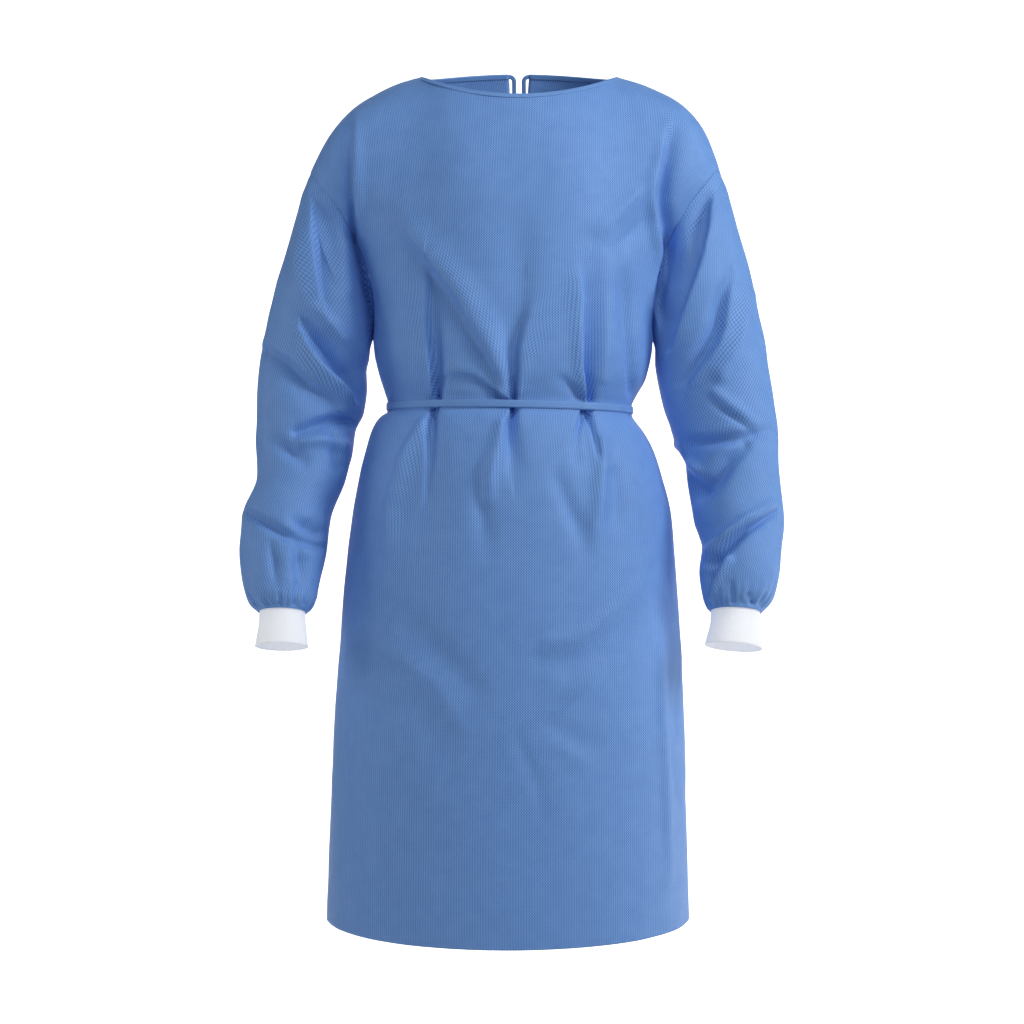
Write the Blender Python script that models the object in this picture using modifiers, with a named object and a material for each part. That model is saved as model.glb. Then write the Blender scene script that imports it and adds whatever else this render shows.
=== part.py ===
"""Isolation gown in the shape it takes when it is worn, empty inside.

Every piece of cloth is a thin closed wall. The body is lofted from level sections up to the
underarm. Above it, columns climb to the shoulder seams and the neckline. Each sleeve is
lofted from the armhole through ovals down to its knitted cuff. Metres, +Z up, the front
towards -Y. The origin is midway between the two sides of the neck, where it is carried.
"""

import math

import bpy
from mathutils import Matrix, Vector

# Driving sizes
CLOTH = 0.0018             # wall of the gown's cloth
KNIT = 0.0018              # wall of the cuffs
TAPE = 0.0015              # folded tape of belt, ties and ends
SEAM_GAP = 0.0003          # between two pieces that touch
SEAM_TRIM = 0.0003         # each edge of a seam is drawn back by this, as the walls lean in
HEM_Z = -1.105
BELT_Z = -0.437
BELT_WIDTH = 0.008
BELT_GRIP = 0.006          # the body is narrowest from this far below the belt to this far above
UNDERARM_Z = -0.345
FRONT, BACK = -1, 1
LEFT, RIGHT = -1, 1

# Level sections of the body: height, left edge, right edge, front, back
LEFT_EDGE, RIGHT_EDGE, FRONT_EDGE, BACK_EDGE = range(1, 5)
BODY_SECTIONS = (
    (HEM_Z, -0.2435, 0.2330, -0.196, 0.190),
    (-0.960, -0.2390, 0.2290, -0.188, 0.184),
    (-0.820, -0.2320, 0.2260, -0.178, 0.177),
    (-0.690, -0.2220, 0.2190, -0.167, 0.168),
    (-0.582, -0.2110, 0.2100, -0.156, 0.158),
    (-0.520, -0.2000, 0.1960, -0.148, 0.148),
    (-0.490, -0.1920, 0.1860, -0.141, 0.139),
    (-0.465, -0.1830, 0.1730, -0.133, 0.128),
    (-0.450, -0.1730, 0.1620, -0.126, 0.119),
    (BELT_Z - BELT_GRIP, -0.1640, 0.1580, -0.121, 0.114),
    (BELT_Z + BELT_GRIP, -0.1640, 0.1580, -0.121, 0.114),
    (-0.420, -0.1670, 0.1630, -0.125, 0.118),
    (-0.395, -0.1750, 0.1770, -0.132, 0.125),
    (-0.366, -0.1815, 0.1830, -0.135, 0.129),
    (UNDERARM_Z, -0.1835, 0.1850, -0.135, 0.131),
)

# Half the width of the opening down the back: height, half width
BACK_OPENING = ((HEM_Z, 0.010), (-0.600, 0.008), (BELT_Z, 0.006), (UNDERARM_Z, 0.008))

# Neckline, an oval loop round the base of the neck
NECK_MIDDLE_X = 0.0095
NECK_HALF_WIDTH = 0.129
NECK_REACH = {FRONT: 0.090, BACK: 0.075}
NECK_RISE = {FRONT: -0.041, BACK: 0.023}
NECK_RISE_CURVE = 1.6
NECK_SLOPE = {FRONT: math.radians(62), BACK: math.radians(66)}
NECK_SIDE_SLOPE = math.radians(21)
NECK_TURN = 0.52           # share of a panel's half width that ends at the neckline
NECK_OPENING = 0.0138      # half the width of the opening at the back of the neck
TURN_STEP = 0.001          # step in which the run of the neckline is measured
BINDING_WIDTH = 0.007
BINDING_PROUD = 0.0005     # the binding stands this far off the panels' face
BINDING_GAP = 0.0005       # between the binding and the panels, which meet it at an angle

# Shoulder seams: where they end, and how they leave the neck and arrive there, as (x, z)
SHOULDER_TIP = {LEFT: (-0.2666, -0.1305), RIGHT: (0.2730, -0.1225)}
SHOULDER_START = {LEFT: (-0.233, -0.058), RIGHT: (0.233, -0.058)}
SHOULDER_END = {LEFT: (-0.094, -0.221), RIGHT: (0.070, -0.230)}

# Columns from underarm to the top edge: share of half width, start pull, end pull
COLUMN_START, COLUMN_END = 1, 2
COLUMN_PULLS = (
    (0.00, 0.30, 0.26),
    (0.52, 0.31, 0.33),
    (0.76, 0.33, 0.40),
    (1.00, 0.36, 0.30),
)
ARMHOLE_LEAN = Vector((-0.06, 0.10, 0.0))   # inward and away from the side, at the armhole
ARMHOLE_LEAN_FROM = 0.78                    # share of the half width where that lean begins

# Sleeve ovals below the armhole: outer x and z, inner x and z, middle y, half depth, tilt
OUTER_X, OUTER_Z, INNER_X, INNER_Z, MIDDLE_Y, HALF_DEPTH, TILT = range(7)
SLEEVE_OVALS = {
    LEFT: (
        (-0.2790, -0.164, -0.1870, -0.358, 0.000, 0.070, 0),
        (-0.2930, -0.215, -0.1890, -0.371, 0.002, 0.074, 0),
        (-0.3090, -0.266, -0.1930, -0.388, 0.004, 0.075, 0),
        (-0.3230, -0.322, -0.1920, -0.411, 0.005, 0.072, 0),
        (-0.3335, -0.377, -0.1960, -0.441, 0.004, 0.069, 3),
        (-0.3360, -0.429, -0.2065, -0.467, -0.002, 0.066, 6),
        (-0.3365, -0.476, -0.2100, -0.499, -0.012, 0.063, 9),
        (-0.3320, -0.528, -0.2180, -0.531, -0.024, 0.060, 12),
        (-0.3495, -0.581, -0.2350, -0.578, -0.040, 0.060, 14),
        (-0.3510, -0.619, -0.2380, -0.619, -0.055, 0.057, 15),
        (-0.3460, -0.660, -0.2460, -0.662, -0.071, 0.052, 15),
        (-0.3360, -0.689, -0.2520, -0.688, -0.083, 0.044, 15),
        (-0.3224, -0.701, -0.2616, -0.701, -0.089, 0.0309, 15),
    ),
    RIGHT: (
        (0.2850, -0.153, 0.1890, -0.360, 0.000, 0.070, 0),
        (0.2960, -0.194, 0.1895, -0.377, 0.002, 0.074, 0),
        (0.3110, -0.246, 0.1925, -0.398, 0.004, 0.075, 0),
        (0.3230, -0.299, 0.1985, -0.427, 0.005, 0.072, 0),
        (0.3350, -0.352, 0.2080, -0.458, 0.004, 0.069, 3),
        (0.3420, -0.405, 0.2180, -0.488, -0.002, 0.066, 6),
        (0.3470, -0.457, 0.2285, -0.510, -0.012, 0.063, 9),
        (0.3490, -0.513, 0.2300, -0.538, -0.024, 0.060, 12),
        (0.3520, -0.577, 0.2365, -0.583, -0.040, 0.060, 14),
        (0.3480, -0.619, 0.2450, -0.619, -0.055, 0.057, 15),
        (0.3420, -0.655, 0.2400, -0.652, -0.071, 0.052, 15),
        (0.3330, -0.683, 0.2440, -0.681, -0.083, 0.044, 15),
        (0.3169, -0.702, 0.2521, -0.699, -0.089, 0.0309, 15),
    ),
}

# Cuff ovals, from the top inside the sleeve to the open end, in the same columns
CUFF_OVALS = {
    LEFT: (
        (-0.3209, -0.696, -0.2631, -0.696, -0.0877, 0.0296, 15),
        (-0.3210, -0.712, -0.2620, -0.712, -0.0920, 0.0290, 15),
        (-0.3244, -0.743, -0.2575, -0.743, -0.1050, 0.0300, 15),
    ),
    RIGHT: (
        (0.3156, -0.697, 0.2534, -0.694, -0.0877, 0.0296, 15),
        (0.3155, -0.713, 0.2525, -0.709, -0.0920, 0.0290, 15),
        (0.3160, -0.747, 0.2434, -0.740, -0.1050, 0.0300, 15),
    ),
}

# Largest folds of the hanging cloth: half it lies on, the line of its trough as x and z of
# both ends, half its width, depth. A negative depth is a ridge
FRONT_FOLDS = (
    (FRONT, (-0.184, -0.180), (-0.090, -0.290), 0.030, 0.006),
    (FRONT, (0.170, -0.190), (0.075, -0.310), 0.030, 0.005),
)
SLEEVE_FOLDS = {
    LEFT: (
        (FRONT, (-0.268, -0.318), (-0.209, -0.418), 0.015, 0.010),
        (FRONT, (-0.283, -0.325), (-0.222, -0.440), 0.015, -0.005),
        (FRONT, (-0.322, -0.340), (-0.262, -0.400), 0.016, 0.006),
        (FRONT, (-0.290, -0.458), (-0.215, -0.452), 0.016, 0.007),
        (FRONT, (-0.340, -0.560), (-0.275, -0.604), 0.015, 0.008),
        (BACK, (-0.300, -0.400), (-0.225, -0.470), 0.018, 0.007),
        (BACK, (-0.335, -0.500), (-0.260, -0.540), 0.018, 0.006),
    ),
    RIGHT: (
        (FRONT, (0.298, -0.290), (0.252, -0.390), 0.018, 0.008),
        (FRONT, (0.262, -0.427), (0.325, -0.468), 0.016, 0.006),
        (FRONT, (0.222, -0.486), (0.252, -0.534), 0.016, 0.008),
        (FRONT, (0.330, -0.585), (0.254, -0.638), 0.015, 0.009),
        (BACK, (0.312, -0.390), (0.240, -0.450), 0.018, 0.007),
        (BACK, (0.335, -0.520), (0.262, -0.560), 0.018, 0.006),
    ),
}


def smoothstep(value):
    """Ease from 0 to 1."""
    value = min(max(value, 0.0), 1.0)
    return value * value * (3 - 2 * value)


def hermite(start, start_pull, end, end_pull, share):
    """Point of the curve that leaves start with one pull and reaches end with the other."""
    square, cube = share ** 2, share ** 3
    return (start * (2 * cube - 3 * square + 1) + start_pull * (cube - 2 * square + share)
            + end * (3 * square - 2 * cube) + end_pull * (cube - square))


def slope_between(points, index):
    """Rise over run from one point to the next."""
    (key, value), (next_key, next_value) = points[index], points[index + 1]
    return (next_value - value) / (next_key - key)


def slope_at(points, index):
    """Slope at a point, level at every high or low, so that the curve never overshoots."""
    if index in (0, len(points) - 1):
        return slope_between(points, min(index, len(points) - 2))
    before = slope_between(points, index - 1)
    after = slope_between(points, index)
    return 0.0 if before * after <= 0 else 2 * before * after / (before + after)


def read_curve(points, key):
    """Value at a key on the smooth curve through (key, value) points."""
    key = min(max(key, points[0][0]), points[-1][0])
    index = 0
    while index < len(points) - 2 and key > points[index + 1][0]:
        index += 1
    (start, value), (end, next_value) = points[index], points[index + 1]
    run = end - start
    return hermite(value, slope_at(points, index) * run,
                   next_value, slope_at(points, index + 1) * run, (key - start) / run)


def read_column(table, column, key):
    """Smooth value of one column of a table, at a key of its first column."""
    return read_curve([(row[0], row[column]) for row in table], key)


def section_point(z, turn, half):
    """Point of a level section. turn is 0 at the middle of a half and -1 or 1 at the sides."""
    left = read_column(BODY_SECTIONS, LEFT_EDGE, z)
    right = read_column(BODY_SECTIONS, RIGHT_EDGE, z)
    depth = read_column(BODY_SECTIONS, FRONT_EDGE if half == FRONT else BACK_EDGE, z)
    angle = turn * math.pi / 2
    return Vector(((left + right) / 2 + (right - left) / 2 * math.sin(angle),
                   depth * math.cos(angle), z))


def neck_point(turn, half, down):
    """Point on the neckline, or down metres below it on the cloth."""
    angle = turn / NECK_TURN * math.pi / 2
    reach = NECK_REACH[half]
    point = Vector((NECK_MIDDLE_X + NECK_HALF_WIDTH * math.sin(angle),
                    half * reach * math.cos(angle),
                    NECK_RISE[half] * max(math.cos(angle), 0.0) ** NECK_RISE_CURVE))
    outward = Vector((math.sin(angle) / NECK_HALF_WIDTH, half * math.cos(angle) / reach, 0))
    outward.normalize()
    slope = NECK_SIDE_SLOPE + (NECK_SLOPE[half] - NECK_SIDE_SLOPE) * math.cos(angle)
    return point + down * (outward * math.cos(slope) - Vector((0, 0, math.sin(slope))))


def shoulder_point(side, share):
    """Point of the shoulder seam, from the binding to the armhole."""
    neck = neck_point(side * NECK_TURN, FRONT, BINDING_WIDTH + BINDING_GAP)
    tip_x, tip_z = SHOULDER_TIP[side]
    start_x, start_z = SHOULDER_START[side]
    end_x, end_z = SHOULDER_END[side]
    return hermite(neck, Vector((start_x, 0, start_z)),
                   Vector((tip_x, 0, tip_z)), Vector((end_x, 0, end_z)), share)


def top_edge(turn, half):
    """Point of a panel's top edge, and the way in which the cloth arrives there."""
    if abs(turn) > NECK_TURN:
        side = RIGHT if turn > 0 else LEFT
        share = (abs(turn) - NECK_TURN) / (1 - NECK_TURN)
        return shoulder_point(side, share), Vector((0, -half, 0))
    down = BINDING_WIDTH + BINDING_GAP
    point = neck_point(turn, half, down)
    inward = (neck_point(turn, half, 0) - point).normalized()
    step = TURN_STEP * (1 if turn >= 0 else -1)
    along = (point - neck_point(turn - step, half, down)).normalized()
    angle = turn / NECK_TURN * math.pi / 2
    return point, inward * math.cos(angle) + along * abs(math.sin(angle))


def column_point(base_turn, top_turn, half, climb):
    """Point of a panel above the underarm. climb runs from 0 there to 1 at the top edge."""
    base = section_point(UNDERARM_Z, base_turn, half)
    top, arrival = top_edge(top_turn, half)
    side = 1 if base_turn > 0 else -1
    lean = smoothstep((abs(base_turn) - ARMHOLE_LEAN_FROM) / (1 - ARMHOLE_LEAN_FROM))
    start = Vector((0, 0, read_column(COLUMN_PULLS, COLUMN_START, abs(base_turn))))
    start += lean * Vector((side * ARMHOLE_LEAN.x, half * ARMHOLE_LEAN.y, 0))
    end = arrival * read_column(COLUMN_PULLS, COLUMN_END, abs(top_turn))
    return hermite(base, start, top, end, climb)


# Grid lines shared by the pieces, so that the two sides of a seam have the same points
ROW_HEIGHTS = (HEM_Z, -1.020, -0.930, -0.840, -0.750, -0.670, -0.600, -0.545, -0.500,
               -0.468, -0.452, BELT_Z - BELT_GRIP, BELT_Z + BELT_GRIP, -0.420, -0.400,
               -0.372, UNDERARM_Z)
CLIMB_ROWS = 12            # rows of the panels from the underarm to the top edge
SHOULDER_COLUMNS = 5
NECK_COLUMNS = 14
BACK_COLUMNS = 6

# Pinched pleats that the belt holds: share of the half width, depth
FRONT_PLEATS = ((-0.40, 0.010), (0.025, 0.010), (0.405, 0.009))
BACK_PLEATS = ((0.30, 0.009), (0.62, 0.008))
PLEAT_STEP = 0.04          # columns beside a pleat's bottom, as a share of the half width
PLEAT_CLEAR = 1.6          # other columns keep this many such steps away from it
PLEAT_REACH = 0.085        # how far above and below the belt a pleat runs out
PLEAT_WIDTH = 0.025        # its width at the belt, as a share of the half width
PLEAT_SPREAD = 0.19        # how much it widens on the way


def climb_at(row):
    """Rows above the underarm lie closer at both ends."""
    return (1 - math.cos(math.pi * row / CLIMB_ROWS)) / 2


def with_pleat_columns(columns, pleats):
    """Columns with three more at each pleat, in place of those that lie too close."""
    centres = [pleat[0] for pleat in pleats]
    kept = [turn for turn in columns
            if all(abs(turn - centre) > PLEAT_CLEAR * PLEAT_STEP for centre in centres)
            or abs(turn) in (NECK_TURN, 0.0)]
    added = [centre + step * PLEAT_STEP for centre in centres for step in (-1, 0, 1)]
    return sorted(set(kept + added))


def front_columns():
    """Columns of the front, from -1 at the left side to 1 at the right."""
    neck = [NECK_TURN * (2 * i / NECK_COLUMNS - 1) for i in range(1, NECK_COLUMNS)]
    shoulder = [NECK_TURN + (1 - NECK_TURN) * i / SHOULDER_COLUMNS
                for i in range(SHOULDER_COLUMNS + 1)]
    return with_pleat_columns([-turn for turn in shoulder] + neck + shoulder, FRONT_PLEATS)


def back_columns():
    """Columns of one back panel, from 0 at the centre edge to 1 at the side."""
    neck = [NECK_TURN * i / BACK_COLUMNS for i in range(BACK_COLUMNS)]
    shoulder = [NECK_TURN + (1 - NECK_TURN) * i / SHOULDER_COLUMNS
                for i in range(SHOULDER_COLUMNS + 1)]
    return with_pleat_columns(neck + shoulder, BACK_PLEATS)


def turn_at(offset, half_width):
    """Turn of the point that lies this far to the side on an oval."""
    return math.asin(offset / half_width) / (math.pi / 2)


def half_width_at(z):
    """Half the width of a level section."""
    left = read_column(BODY_SECTIONS, LEFT_EDGE, z)
    return (read_column(BODY_SECTIONS, RIGHT_EDGE, z) - left) / 2


def back_turn(z, column):
    """Place of a back panel's column on a level section, outside the centre opening."""
    start = turn_at(read_column(BACK_OPENING, 1, z), half_width_at(z))
    return start + (1 - start) * column


def back_top_turn(column):
    """Place of a back panel's column on the top edge, outside the opening at the neck."""
    start = turn_at(NECK_OPENING, NECK_HALF_WIDTH) * NECK_TURN
    if column >= NECK_TURN:
        return column
    return start + (NECK_TURN - start) * column / NECK_TURN


def pleat_depth(turn, z, pleats):
    """How far the cloth is pinched in at a place near the belt."""
    reach = abs(z - BELT_Z) / PLEAT_REACH
    if reach >= 1:
        return 0.0
    width = PLEAT_WIDTH + PLEAT_SPREAD * reach
    fade = (1 - reach) ** 2
    return sum(depth * fade * math.exp(-((turn - centre) / width) ** 2)
               for centre, depth in pleats)


def fold_depth(point, normal, folds):
    """How far the folds press the cloth in at a point, as seen from the front or the back."""
    pressed = 0.0
    for half, (start_x, start_z), (end_x, end_z), width, depth in folds:
        facing = smoothstep(2 * half * normal.y)
        run_x, run_z = end_x - start_x, end_z - start_z
        length = math.hypot(run_x, run_z)
        along = ((point.x - start_x) * run_x + (point.z - start_z) * run_z) / length
        beside = ((point.x - start_x) * run_z - (point.z - start_z) * run_x) / length
        beyond = max(-along, along - length, 0.0)
        distance = math.hypot(beside, beyond) / width
        pressed += depth * facing * math.exp(-distance ** 2)
    return pressed


def grid_normals(grid, closed):
    """Outward direction at every point of a grid whose rows climb and run to the right."""
    normals = []
    last_row = len(grid) - 1
    for i, row in enumerate(grid):
        count = len(row)
        line = []
        for j in range(count):
            up = grid[min(i + 1, last_row)][j] - grid[max(i - 1, 0)][j]
            if closed:
                along = row[(j + 1) % count] - row[j - 1]
            else:
                along = row[min(j + 1, count - 1)] - row[max(j - 1, 0)]
            line.append(along.cross(up).normalized())
        normals.append(line)
    return normals


def trim(point, neighbour, distance):
    """Point moved towards its neighbour."""
    return point + (neighbour - point).normalized() * distance


def trim_seams(grid, sides, top_columns):
    """Draw the edges of a panel back from its seams."""
    for row in grid:
        for edge, inner in sides:
            row[edge] = trim(row[edge], row[inner], SEAM_TRIM)
    for j in top_columns:
        grid[-1][j] = trim(grid[-1][j], grid[-2][j], SEAM_TRIM)
    return grid


def pinch(grid, normals, turns, pleats):
    """Press the pleats into the rows below the underarm."""
    for i, z in enumerate(ROW_HEIGHTS):
        for j, turn in enumerate(turns):
            grid[i][j] -= normals[i][j] * pleat_depth(turn, z, pleats)
    return grid


def front_grid():
    """Outer face of the front panel."""
    turns = front_columns()
    grid = [[section_point(z, turn, FRONT) for turn in turns] for z in ROW_HEIGHTS]
    grid += [[column_point(turn, turn, FRONT, climb_at(row)) for turn in turns]
             for row in range(1, CLIMB_ROWS + 1)]
    normals = grid_normals(grid, False)
    pinch(grid, normals, turns, FRONT_PLEATS)
    for row, line in zip(grid, normals):
        for j, normal in enumerate(line):
            row[j] -= normal * fold_depth(row[j], normal, FRONT_FOLDS)
    shoulder = [j for j, turn in enumerate(turns) if abs(turn) >= NECK_TURN]
    return trim_seams(grid, ((0, 1), (-1, -2)), shoulder)


def back_grid(side):
    """Outer face of one back panel, with its columns running to the right from behind."""
    columns = back_columns()
    grid = [[section_point(z, side * back_turn(z, column), BACK) for column in columns]
            for z in ROW_HEIGHTS]
    grid += [[column_point(side * back_turn(UNDERARM_Z, column), side * back_top_turn(column),
                           BACK, climb_at(row)) for column in columns]
             for row in range(1, CLIMB_ROWS + 1)]
    if side == RIGHT:
        grid = [row[::-1] for row in grid]
        columns = columns[::-1]
    pinch(grid, grid_normals(grid, False), columns, BACK_PLEATS)
    shoulder = [j for j, column in enumerate(columns) if column >= NECK_TURN]
    armhole = ((0, 1),) if side == RIGHT else ((-1, -2),)
    return trim_seams(grid, armhole, shoulder)


def oval_point(ovals, place, angle):
    """Point of a sleeve or cuff. angle is 0 at the outer line and runs over the front."""
    values = [read_curve(list(enumerate(column)), place) for column in zip(*ovals)]
    outer = Vector((values[OUTER_X], values[MIDDLE_Y], values[OUTER_Z]))
    inner = Vector((values[INNER_X], values[MIDDLE_Y], values[INNER_Z]))
    tilt = math.radians(values[TILT])
    forward = Vector((0, -math.cos(tilt), math.sin(tilt)))
    return ((outer + inner) / 2 + (outer - inner) / 2 * math.cos(angle)
            + forward * values[HALF_DEPTH] * math.sin(angle))


# Sleeve rows as places along its ovals. 0 is the armhole and 1 the first oval
SLEEVE_ROWS = (0, 0.3, 0.65, 1, 1.6, 2.2, 2.8, 3.4, 4, 4.5, 5, 5.5, 6, 6.5, 7, 7.5, 8, 8.5, 9,
               9.5, 10, 10.6, 11.3, 12, 12.55, 13)
SLEEVE_COLUMNS = 2 * CLIMB_ROWS
ARMHOLE_PULL = 1.1         # how straight the sleeve leaves the armhole
PLACE_STEP = 0.05          # step in which its run at the first oval is measured
CUFF_SEAM = 0.33           # place along the cuff's ovals where the sleeve ends on it
CUFF_CLEAR = 0.0020        # the sleeve's face ends this far off, as its wall leans in
GATHERS = 12               # gathers where the sleeve meets the cuff
GATHER_DEPTH = 0.0016
GATHER_PLACES = (10.5, 12.5, 13)   # where they start, are deepest and end at the seam


def armhole_point(side, angle):
    """Point of the armhole, in step with the rows of the panels that end there."""
    half = FRONT if angle <= math.pi else BACK
    return column_point(side, side, half, (1 + math.cos(angle)) / 2)


def sleeve_point(side, place, angle):
    """Point of a sleeve, from the armhole down to the seam of the cuff."""
    ovals = SLEEVE_OVALS[side]
    if place >= 1:
        return oval_point(ovals, place - 1, angle)
    start = armhole_point(side, angle)
    end = oval_point(ovals, 0, angle)
    onward = (oval_point(ovals, PLACE_STEP, angle) - end) / PLACE_STEP
    return hermite(start, (end - start) * ARMHOLE_PULL, end, onward, place)


def cuff_seam(side, angles):
    """Ring round the cuff on which the sleeve ends."""
    ring = [oval_point(CUFF_OVALS[side], CUFF_SEAM, angle) for angle in angles]
    middle = sum(ring, Vector()) / len(ring)
    return [point + (point - middle).normalized() * CUFF_CLEAR for point in ring]


def sleeve_grid(side):
    """Outer face of a sleeve, with rows that climb from the cuff to the armhole."""
    angles = [2 * math.pi * j / SLEEVE_COLUMNS for j in range(SLEEVE_COLUMNS)]
    grid = [[sleeve_point(side, place, angle) for angle in angles] for place in SLEEVE_ROWS]
    grid[-1] = cuff_seam(side, angles)
    for j, angle in enumerate(angles):
        under = ((1 - math.cos(angle)) / 2) ** 2
        away = (grid[1][j] - grid[0][j]).normalized() * (1 - under) + Vector((side * under, 0, 0))
        grid[0][j] += away.normalized() * SEAM_GAP
    grid.reverse()
    if side == RIGHT:
        grid = [row[:1] + row[:0:-1] for row in grid]
    normals = grid_normals(grid, True)
    start, full, end = GATHER_PLACES
    for i, row in enumerate(grid):
        place = SLEEVE_ROWS[len(grid) - 1 - i]
        gather = smoothstep((place - start) / (full - start)) * smoothstep((end - place) / (end - full))
        for j, angle in enumerate(angles):
            lift = GATHER_DEPTH * gather * math.cos(GATHERS * angle)
            row[j] += normals[i][j] * (lift - fold_depth(row[j], normals[i][j], SLEEVE_FOLDS[side]))
    return grid


def cuff_grid(side):
    """Outer face of a cuff, with rows that climb from its open end."""
    angles = [2 * math.pi * j / SLEEVE_COLUMNS for j in range(SLEEVE_COLUMNS)]
    grid = [[oval_point(CUFF_OVALS[side], place, angle) for angle in angles]
            for place in (2, 1, 0)]
    if side == RIGHT:
        grid = [row[:1] + row[:0:-1] for row in grid]
    return grid


def binding_grid():
    """Outer face of the neck binding, from the left end at the back round the front."""
    back = [back_top_turn(column) for column in back_columns() if column <= NECK_TURN]
    front = [turn for turn in front_columns() if abs(turn) < NECK_TURN]
    places = [(-turn, BACK) for turn in back]
    places += [(turn, FRONT) for turn in front]
    places += [(turn, BACK) for turn in reversed(back)]
    grid = [[neck_point(turn, half, down) for turn, half in places]
            for down in (BINDING_WIDTH, 0)]
    normals = grid_normals(grid, False)
    return [[point + normal * BINDING_PROUD for point, normal in zip(row, line)]
            for row, line in zip(grid, normals)]


# Knot and hanging ends of the belt
KNOT_SIZE = (0.015, 0.009, 0.013)
KNOT_ROUND = 0.003
KNOT_LIFT = 0.003          # the belt leaves the cloth by this much to enter the knot
END_START = 0.0041         # the ends leave the knot this far to each side of its middle
END_SPREAD = {LEFT: 0.022, RIGHT: 0.014}
END_LENGTH = {LEFT: 0.240, RIGHT: 0.265}
END_CLEAR = 0.0006         # they hang this far off the cloth
END_ROWS = 12

# Neck ties
TIE_WIDTH = 0.0058
TIE_BEND = 0.0066          # radius in which a tie turns down
TIE_BEND_ROWS = 4
TIE_ROWS = 9
TIE_LENGTH = {LEFT: 0.270, RIGHT: 0.285}
TIE_SWAY = {LEFT: 0.004, RIGHT: -0.005}
TIE_WAVES = 1.2            # waves of that sway from top to end
TIE_CLEAR = 0.0032         # a tie hangs this far off the cloth
TIE_LIFT_LENGTH = 0.030    # length over which it leaves the cloth
LINE_STEPS = 60            # points measured down the centre back


def belt_grid():
    """Outer face of the belt, from the knot round the front and back to the knot."""
    start = turn_at(KNOT_SIZE[0] / 2 + SEAM_GAP, half_width_at(BELT_Z))
    back = [start] + [back_turn(BELT_Z, column) for column in back_columns()[1:]]
    front = [turn for turn in front_columns() if abs(turn) < 1]
    places = [(-turn, BACK) for turn in back]
    places += [(turn, FRONT) for turn in front]
    places += [(turn, BACK) for turn in reversed(back)]
    grid = [[section_point(BELT_Z, turn, half) + Vector((0, 0, rise)) for turn, half in places]
            for rise in (-BELT_WIDTH / 2, BELT_WIDTH / 2)]
    for row, line in zip(grid, grid_normals(grid, False)):
        for j, normal in enumerate(line):
            lift = KNOT_LIFT if j in (0, len(line) - 1) else 0.0
            row[j] += normal * (SEAM_GAP + TAPE + lift)
    return grid


def strip_grid(path, outward, widths):
    """Face of a tape along a path, with its width laid across and its face outward."""
    grid = []
    for i, point in enumerate(path):
        onward = path[min(i + 1, len(path) - 1)] - path[max(i - 1, 0)]
        across = onward.cross(outward[i]).normalized() * widths[i] / 2
        grid.append([point - across, point + across])
    return grid


def waist_end_grid(side):
    """One end of the belt, hanging from the knot down the back."""
    path, outward = [], []
    top = BELT_Z - KNOT_SIZE[2] / 2 - SEAM_GAP
    for row in range(END_ROWS, -1, -1):
        share = row / END_ROWS
        z = top - END_LENGTH[side] * share
        offset = side * (END_START + END_SPREAD[side] * smoothstep(share))
        point = section_point(z, turn_at(offset, half_width_at(z)), BACK)
        lift = END_CLEAR + (KNOT_SIZE[1] / 2 + SEAM_GAP - END_CLEAR) * (1 - share) ** 4
        path.append(point + Vector((0, lift + TAPE, 0)))
        outward.append(Vector((0, 1, 0)))
    return strip_grid(path, outward, [BELT_WIDTH - SEAM_GAP] * len(path))


def centre_back_line():
    """Points down the middle of the back from the neckline, and the length to each."""
    points = [neck_point(0, BACK, 0)]
    points += [column_point(0, 0, BACK, 1 - i / LINE_STEPS) for i in range(LINE_STEPS + 1)]
    lengths = [0.0]
    for before, after in zip(points, points[1:]):
        lengths.append(lengths[-1] + (after - before).length)
    return points, lengths


def down_the_back(line, length):
    """Point of the centre back this far below the neckline, and the way out of the cloth."""
    points, lengths = line
    index = 0
    while index < len(points) - 2 and lengths[index + 1] < length:
        index += 1
    along = points[index + 1] - points[index]
    share = (length - lengths[index]) / (lengths[index + 1] - lengths[index])
    return points[index] + along * share, Vector((0, -along.z, along.y)).normalized()


def neck_tie_grid(side):
    """A neck tie, which carries on from the binding's end, turns and hangs down the back."""
    line = centre_back_line()
    start_x = NECK_MIDDLE_X + side * (NECK_OPENING - 2 * SEAM_GAP)
    route = []
    for i in range(TIE_BEND_ROWS + 1):
        angle = math.pi / 2 * i / TIE_BEND_ROWS
        route.append((TIE_BEND * math.sin(angle),
                      BINDING_WIDTH / 2 + TIE_BEND * (1 - math.cos(angle))))
    below = BINDING_WIDTH / 2 + TIE_BEND
    for i in range(1, TIE_ROWS + 1):
        share = i / TIE_ROWS
        sway = TIE_SWAY[side] * math.sin(TIE_WAVES * 2 * math.pi * share) * share
        route.append((TIE_BEND + sway, below + (TIE_LENGTH[side] - below) * share))
    path, outward = [], []
    for inset, length in reversed(route):
        point, normal = down_the_back(line, length)
        lift = TIE_CLEAR * smoothstep((length - BINDING_WIDTH / 2) / TIE_LIFT_LENGTH)
        path.append(Vector((start_x - side * inset, point.y, point.z)) + normal * lift)
        outward.append(normal)
    return strip_grid(path, outward, [TIE_WIDTH] * len(path))


# Materials: name, colour in linear light, roughness
CLOTH_LOOK = ("blue_nonwoven", (0.125, 0.255, 0.565), 0.72)
KNIT_LOOK = ("white_rib_knit", (0.78, 0.81, 0.86), 0.85)


def material(look):
    """Material of one kind of cloth."""
    name, colour, roughness = look
    found = bpy.data.materials.get(name)
    if found:
        return found
    made = bpy.data.materials.new(name)
    made.use_nodes = True
    shader = made.node_tree.nodes["Principled BSDF"]
    shader.inputs["Base Color"].default_value = (*colour, 1)
    shader.inputs["Roughness"].default_value = roughness
    shader.inputs["Metallic"].default_value = 0.0
    return made


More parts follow.
